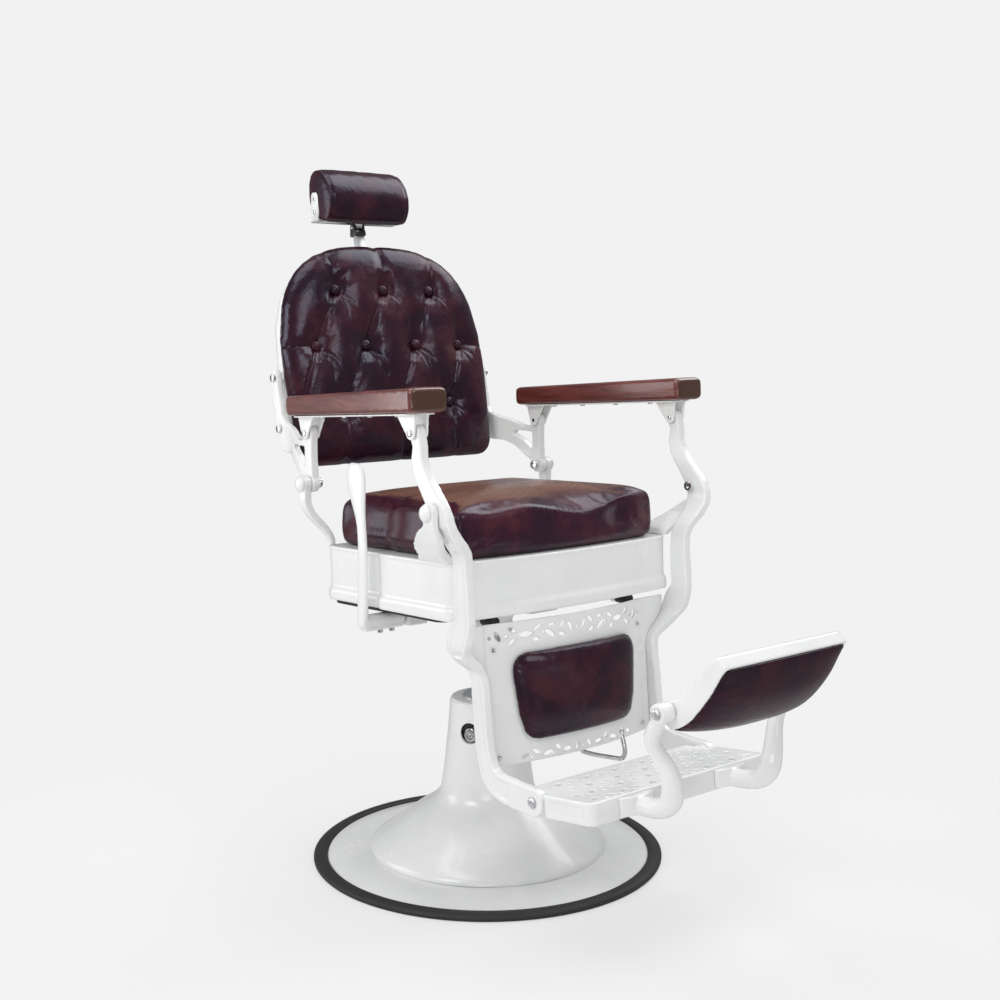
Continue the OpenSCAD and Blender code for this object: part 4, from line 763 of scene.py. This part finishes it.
print("a hide is made from its solid in voxels, then divided once")


# %% Draw a crease
def groove(points, course, width, depth, fade=0.0, lip=0.3):
    """How far a crease draws the hide in. course holds the crease's points, x and y, in order."""
    deepest = np.zeros(len(points))
    for i in range(len(course) - 1):
        a, b = np.array(course[i]), np.array(course[i + 1])
        run = b - a
        t = np.clip((points[:, :2] - a) @ run / (run @ run), 0, 1)
        away = np.linalg.norm(points[:, :2] - a - t[:, None] * run, axis=1) / width
        along = 1 - fade * (i + t) / (len(course) - 1)
        valley = np.clip(1 - away, 0, 1) ** 1.4 - lip * np.exp(-((away - 1.6) / 0.55) ** 2)
        mine = along * valley
        deepest = np.where(np.abs(mine) > np.abs(deepest), mine, deepest)
    return depth * deepest


def bent(start, end, bow, steps=4):
    """Points from start to end on a line that bows out sideways."""
    a, b = np.array(start), np.array(end)
    side = np.array((b[1] - a[1], a[0] - b[0]))
    return [a + (b - a) * t + side * bow * math.sin(math.pi * t)
            for t in np.linspace(0, 1, steps + 1)]


print("a crease of one bow has", len(bent((0, 0), (1, 0), 0.1)), "points")

# %% [markdown]
# ## The buttoned back
#
# Ten buttons pull the hide down to the board. Between them it is folded into pleats that run down
# to the next button, and shorter creases fan out under each one. The pull of the buttons is in
# the solid; the pleats are cut after the simulation, because a remesh would fill anything so
# narrow.

# %% Where the buttons and folds are, in metres across and up the back
BUTTONS = [
    (0, 0.352), (0.117, 0.352), (-0.117, 0.352),
    (0.062, 0.238), (-0.062, 0.238), (0.177, 0.238), (-0.177, 0.238),
    (0, 0.116), (0.132, 0.116), (-0.132, 0.116)]
PLEATS = [
    ((0, 0.352), (-0.062, 0.238)), ((0.117, 0.352), (0.062, 0.238)),
    ((-0.117, 0.352), (-0.177, 0.238)), ((0.062, 0.238), (0, 0.116)),
    ((-0.062, 0.238), (-0.132, 0.116)), ((0.177, 0.238), (0.132, 0.116)),
    ((-0.177, 0.238), (-0.226, 0.13))]
EDGE_FOLDS = [
    ((0, 0.352), (0.002, 0.46)), ((0.117, 0.352), (0.131, 0.44)),
    ((-0.117, 0.352), (-0.131, 0.44)), ((0.177, 0.238), (0.26, 0.232)),
    ((-0.177, 0.238), (-0.26, 0.232)), ((0, 0.116), (0, -0.01)),
    ((0.132, 0.116), (0.138, -0.01)), ((-0.132, 0.116), (-0.138, -0.01))]
NOTCHES = [(0.001, 0.452), (0.131, 0.436), (-0.131, 0.436), (0, -0.004), (0.138, -0.004),
           (-0.138, -0.004)]        # where the edge folds nick the outline


def away_from(points, place):
    """Distance of every point from a place, across the cushion."""
    return np.linalg.norm(points[:, :2] - np.array(place), axis=1)


def from_buttons(points):
    """Distance of every point from its nearest button."""
    return np.min([away_from(points, button) for button in BUTTONS], axis=0)


print(len(BUTTONS), "buttons,", len(PLEATS), "pleats and", len(EDGE_FOLDS), "folds to the edge")


# %% Stuff the back between its buttons
def back_held(points):
    near = 1 - rise(from_buttons(points), 0.010, 0.026)
    folds = np.max([groove(points, [a, b], 0.010, 0.35, 0, 0) for a, b in PLEATS], axis=0)
    return np.clip(np.maximum.reduce([near, folds, 1 - rise(points[:, 2], 0.001, 0.010)]), 0, 1)


back_hide = finer(stuffed(voxelled("back_cushion", 0.0045), BACK, back_held, 0.008))

# %% Fold the back's hide: each groove's width, depth, fading and lip
points = points_in(back_hide, BACK)
front = rise(points[:, 2], -0.004, 0.003)
drawn = 0.0012 * np.exp(-(from_buttons(points) / 0.016) ** 2)
for start, end in PLEATS:
    line = bent(start, end, 0.035)
    drawn += groove(points, line, 0.0068, 0.0034, 0.35, 0.15)
    beside = [p + np.array((0.0125 - 0.0018 * i, 0.001)) for i, p in enumerate(line[:4])]
    drawn += groove(points, beside, 0.0054, 0.0020, 0.95, 0.1)
for x, y in BUTTONS:
    long_fan = bent((x + 0.006, y - 0.008), (x + 0.040, y - 0.044), -0.10)
    drawn += groove(points, long_fan, 0.0060, 0.0025, 0.95, 0.15)
    short_fan = bent((x + 0.002, y - 0.010), (x + 0.018, y - 0.046), -0.06)
    drawn += groove(points, short_fan, 0.0052, 0.0014, 0.95, 0.1)
for start, end in EDGE_FOLDS:
    deep = 0.0009 if end[1] > 0.4 else 0.0018
    drawn += groove(points, bent(start, end, 0.02), 0.0048, deep, 0.3, 0.1)
points[:, 2] -= front * drawn
notch = np.max([np.exp(-(away_from(points, place) / 0.010) ** 2) for place in NOTCHES], axis=0)
points[:, 1] -= 0.0012 * notch * np.sign(points[:, 1] - 0.2)
put_points(back_hide, BACK, points)
dress(back_hide, "leather", "back", "back_cushion")
print("the deepest fold is", round(float((front * drawn).max()) * 1000, 1), "mm")

# %% [markdown]
# ## Covered buttons
#
# Each button is a metal shell with a disc of the same hide pressed round it, so it is a low dome
# with a rolled edge. It stands on the floor of its pit, so the hide's height is read there first.

# %% Set the buttons on the hide
PIT_REACH = 0.0035      # the pit's floor is this wide, from its middle
BUTTON_STAND = 0.004    # the dome's rim stands this far above it
DOME = [
    (0.0055, -0.004), (0.0100, -0.0030), (0.0112, -0.0005), (0.0112, 0.0022), (0.0103, 0.0046),
    (0.0084, 0.0065), (0.0058, 0.0078), (0.0030, 0.0085), (0.0004, 0.0087)]


def floor_of(points, x, y):
    """Height of the hide at a place."""
    near = away_from(points, (x, y)) < PIT_REACH
    return float(points[near & (points[:, 2] > 0), 2].mean())


stands = [(x, y, floor_of(points, x, y) + BUTTON_STAND) for x, y in BUTTONS]
buttons = turning("covered_buttons", DOME, stands, BACK)
dress(buttons, "leather", "back", "back_buttons")
print(len(BUTTONS), "buttons")

# %% [markdown]
# ## The seat
#
# A seat cushion is a boxed slab: upright sides, a rolled front edge and a crowned top. Years of
# sitters have pressed the front edge down in the middle and polished it, and the hide on top has
# gone brown; its upward faces are also painted lighter as a sheen. The slab is swelled first; the
# sag of the edge and a few upright tucks follow. A bell curve is enough for each dip and each rise,
# because old stuffing has no edges.

# %% Stuff the seat
SEAT_FOOT = 0.101       # height of the cushion's underside in the seat's frame
EDGE_DIP = 0.017        # how far the front edge is pressed down where it is worn most


def bell(value, middle, width):
    """1 at the middle, falling to 0 on both sides."""
    return np.exp(-((value - middle) / width) ** 2)


def seat_held(points):
    return 1 - rise(points[:, 2] - SEAT_FOOT, 0.002, 0.020)


seat_hide = finer(stuffed(voxelled("seat_cushion", 0.005, 6), SEAT, seat_held, 0.004))

# %% Wear the seat's front edge down
points = points_in(seat_hide, SEAT)
height = points[:, 2] - SEAT_FOOT
x, y = points[:, 0], points[:, 1]
front_edge = rise(-y, 0.135, 0.235) * rise(height, 0.035, 0.085)
worn_dip = bell(x, 0.045, 0.085) + 0.35 * bell(x, -0.165, 0.045)
lift = 0.35 * bell(x, -0.085, 0.045) + 0.5 * bell(x, 0.175, 0.04)
points[:, 2] -= front_edge * (EDGE_DIP * worn_dip - 0.008 * lift)
on_front = rise(-y, 0.20, 0.235) * rise(height, 0.012, 0.04) * (1 - rise(height, 0.075, 0.095))
hollow = 0.010 * bell(x, 0.135, 0.035) * bell(height, 0.05, 0.03)
ripple = 0.0005 * np.sin(x * 520 + 3 * np.sin(x * 90))
tucks = ripple * bell(x, -0.03, 0.07) * rise(height, 0.045, 0.07)
points[:, 1] += on_front * (hollow + tucks)
on_side = rise(np.abs(x), 0.20, 0.225) * rise(height, 0.03, 0.06)
points[:, 2] -= on_side * 0.004 * (1 + np.sin(y * 38 + 1.0)) * (1 - front_edge)
put_points(seat_hide, SEAT, points)
dress(seat_hide, "seat_leather", "seat", "seat_cushion")
deepest = float((front_edge * worn_dip).max()) * EDGE_DIP
print("the front edge dips by up to", round(deepest * 1000), "mm")

# %% [markdown]
# ## The headrest
#
# The headrest is a D-shaped roll with a flat panel sewn into each end. The roll is held where it
# lies on its plate and swells above it. Beside each end the thread draws the hide in a little.

# %% The headrest
REST_FOOT = 1.246       # the roll is held up to this height
REST_MIDDLE = np.array((0.420, 1.292))      # middle of its D, in Y and Z
SEAM_IN, SEAM_WIDE, SEAM_DEEP = 0.0095, 0.0022, 0.0014      # from the end, and its own size


def rest_held(points):
    return 1 - rise(points[:, 2], REST_FOOT, REST_FOOT + 0.016)


rest_hide = finer(stuffed(voxelled("headrest_cushion", 0.004, 3), UPRIGHT, rest_held, 0.005))
points = points_in(rest_hide, UPRIGHT)
half = float(points[:, 0].max())
seam = bell(np.abs(points[:, 0]), half - SEAM_IN, SEAM_WIDE)
inward = REST_MIDDLE - points[:, 1:]
inward /= np.linalg.norm(inward, axis=1, keepdims=True)
points[:, 1:] += SEAM_DEEP * seam[:, None] * inward
ripple = np.sin(points[:, 0] * 140 + 40 * points[:, 2]) * bell(points[:, 2], 1.335, 0.01)
points[:, 2] += 0.0005 * ripple
put_points(rest_hide, UPRIGHT, points)
dress(rest_hide, "leather", "headrest", "headrest_cushion")
print("the roll is", round(2 * half * 1000), "mm long")

# %% [markdown]
# ## The headrest's welts
#
# The corner where roll and end panel are sewn together stands up as a thin welt. It is a tube
# laid round the roll. Its line is found by rays that come in from all round and stop where they
# meet the hide, so the welt follows the roll however it has swelled.

# %% Draw tubes through loops of points
def tube(name, loops, radius, sides=8):
    """Closed tubes through loops of points."""
    work = bmesh.new()
    for loop in loops:
        count = len(loop)
        rings = []
        for i in range(count):
            along = (Vector(loop[(i + 1) % count]) - Vector(loop[i - 1])).normalized()
            across = along.cross(Vector((1, 0, 0))).normalized()
            upward = along.cross(across)
            ring = []
            for k in range(sides):
                a = 2 * math.pi * k / sides
                out = across * math.cos(a) + upward * math.sin(a)
                ring.append(work.verts.new(Vector(loop[i]) + radius * out))
            rings.append(ring)
        for i in range(count):
            for k in range(sides):
                work.faces.new((rings[i][k], rings[(i + 1) % count][k],
                                rings[(i + 1) % count][(k + 1) % sides], rings[i][(k + 1) % sides]))
    return closed_mesh(name, work)


print("tubes are closed, with 8 sides unless told otherwise")


# %% Lay the welts round the roll
RAY_START = 0.2         # further out than any part of the roll
BEDDED = 0.0004         # how deep the middle of the welt lies in the hide


def round_loop(piece, x, centre, steps=72):
    """Where rays that run in to the centre, square to X, first meet the piece."""
    found = []
    for k in range(steps):
        a = 2 * math.pi * k / steps
        ray = Vector((0, math.cos(a), math.sin(a)))
        far = Vector((x, *centre)) + ray * RAY_START
        hit, at, _, _ = piece.ray_cast(far, -ray)
        if hit:
            found.append(at - ray * BEDDED)
    return found


loops = [round_loop(rest_hide, side * (half - 0.0045), REST_MIDDLE) for side in (-1, 1)]
welts = tube("headrest_welts", loops, 0.0017)
welts.data.materials.append(finishes["leather"])
smooth_faces(welts)
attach(welts, "headrest")
print("two welts of", len(loops[0]), "points")

# %% [markdown]
# ## The kick cushion
#
# It is a thin pad with a plain rounded face on a panel that is bent round an upright axis. Its
# rim is held against the panel, so how far a point is from the panel's curve says how firmly it
# is held. It may only swell away from the panel, because sideways it would fold over its own rim.

# %% The kick cushion
PANEL_R = 0.585         # radius that the panel is bent to


def kick_held(points):
    sagged = PANEL_R - np.sqrt(np.maximum(PANEL_R ** 2 - points[:, 0] ** 2, 0))
    return 1 - rise(points[:, 2] + sagged, 0.004, 0.012)


kick_hide = finer(stuffed(voxelled("kick_cushion", 0.003, 6), PANEL, kick_held, 0.005, sideways=0))
dress(kick_hide, "leather", "leg_frame", "kick_cushion")
print("the kick cushion is held at its rim")

# %% [markdown]
# ## The leg pad
#
# The leg pad's hide is drawn tight over a roll and tucked into its tray. The tray's edge isn't
# straight, so its height is given at seven places along the pad and read between them; the hide
# is held there and swells a little above it.

# %% The leg pad
TRAY_ALONG = [-0.022, -0.007, 0.020, 0.050, 0.089, 0.119, 0.140]
TRAY_EDGE = [0.020, 0.029, 0.036, 0.036, 0.033, 0.027, 0.026]


def pad_held(points):
    above = points[:, 2] - np.interp(points[:, 1], TRAY_ALONG, TRAY_EDGE)
    return 1 - rise(above, 0.0015, 0.008)


pad_hide = finer(stuffed(voxelled("pad_leather", 0.004, 2), PAD, pad_held, 0.005))
dress(pad_hide, "leather", "leg_pad", "pad_leather")
print("five cushions")

# %% [markdown]
# ## The floor
#
# A pale floor runs into a background of the same tone. A floor that is only lit never matches it,
# so it also glows: about half near the chair, where its shadow should show, and wholly further
# away. Glossy rays see a fainter glow, or the underside of everything shiny would turn white.

# %% The floor
TONE = (0.885, 0.885, 0.885)        # of the background, and of the floor far away


def pale_floor():
    ground = Finish("pale_floor")
    lit = ground.node("ShaderNodeBsdfDiffuse", {}, {"Color": (0.86, 0.86, 0.86)}, "BSDF")
    mirrored_in = ground.node("ShaderNodeLightPath", out="Is Glossy Ray")
    glow = ground.node("ShaderNodeEmission", {}, {"Color": TONE, "Strength": 1.0}, "Emission")
    faint = ground.node("ShaderNodeEmission", {}, {"Color": TONE, "Strength": 0.3}, "Emission")
    shown = ground.node("ShaderNodeMixShader", {}, {0: mirrored_in, 1: glow, 2: faint}, "Shader")
    away = ground.node("ShaderNodeVectorMath", {"operation": "LENGTH"}, {0: ground.place}, "Value")
    share = ground.step(away, 0.40, 1.3) * 0.45 + 0.55
    return ground.ends_in(
        ground.node("ShaderNodeMixShader", {}, {0: share, 1: lit, 2: shown}, "Shader"))


disc = bmesh.new()
bmesh.ops.create_circle(disc, cap_ends=True, radius=60, segments=96)
floor_mesh = bpy.data.meshes.new("studio_floor")
disc.to_mesh(floor_mesh)
disc.free()
floor_mesh.materials.append(pale_floor())
floor = linked("studio_floor", floor_mesh)
print("a round floor of 60 m radius")

# %% [markdown]
# ## The lights
#
# Each light is a soft box: a bright rectangle that the camera doesn't see, but gloss does. The
# largest part of the light comes from the sitter's right. One above and one over the sitter's
# left draw long highlights on rolled leather, and a weak one near the floor opens the pedestal's
# shadow.

# %% The lights
def softbox(name, place, towards, size, power):
    """A rectangular light at a place, turned towards another. Metres and watts."""
    lamp = bpy.data.lights.new(name, "AREA")
    lamp.shape = "RECTANGLE"
    lamp.size, lamp.size_y = size
    lamp.energy = power
    made = linked(name, lamp)
    made.location = place
    made.rotation_mode = "QUATERNION"
    made.rotation_quaternion = (Vector(towards) - Vector(place)).to_track_quat("-Z", "Y")
    made.visible_camera = False


softbox("key_light", (-3.2, -0.5, 2.5), (0, 0, 0.7), (1.4, 1.6), 37)
softbox("side_light", (-1.6, 1.4, 1.0), (-0.1, 0, 0.85), (0.9, 1.3), 10)
softbox("front_light", (0.3, -3.2, 3.0), (0, 0, 0.6), (1.4, 1.2), 24)
softbox("top_light", (-0.5, 0.2, 3.3), (0, 0, 0.6), (1.8, 1.8), 28)
softbox("over_light", (1.7, -0.1, 2.9), (0, 0, 0.9), (1.8, 2.0), 40)
softbox("low_light", (-2.3, -2.5, 0.6), (0, 0, 0.25), (1.2, 0.7), 11)
print("six soft lights")

# %% [markdown]
# ## The air around the chair
#
# The world is three backgrounds in one. The camera sees the pale tone of the floor, so that the
# two meet without a line. Surfaces feel a weaker, cooler light from all round. Glossy rays see a
# dim grey, so that enamel and wax mirror the soft boxes and not a white nothing.

# %% The air
world = bpy.data.worlds.new("studio_air")
scene.world = world
world.use_nodes = True
air = world.node_tree
air.nodes.clear()


def backdrop(colour, strength=1.0):
    """One even background."""
    sky = air.nodes.new("ShaderNodeBackground")
    sky.inputs["Color"].default_value = (*colour, 1)
    sky.inputs["Strength"].default_value = strength
    return sky


def either(ray, otherwise, for_ray):
    """One shader for rays of that kind and another for the rest."""
    mix = air.nodes.new("ShaderNodeMixShader")
    for socket, output in zip(mix.inputs, (path.outputs[ray], otherwise, for_ray)):
        air.links.new(output, socket)
    return mix.outputs[0]


path = air.nodes.new("ShaderNodeLightPath")
felt = backdrop((0.97, 0.98, 1.0), 0.38)
dim = backdrop((0.22, 0.225, 0.24))
seen = backdrop(TONE)
around = either("Is Glossy Ray", felt.outputs[0], dim.outputs[0])
end = air.nodes.new("ShaderNodeOutputWorld")
air.links.new(either("Is Camera Ray", around, seen.outputs[0]), end.inputs["Surface"])
scene.view_settings.view_transform = "Standard"
print("three backgrounds in one, and colours shown as they are")
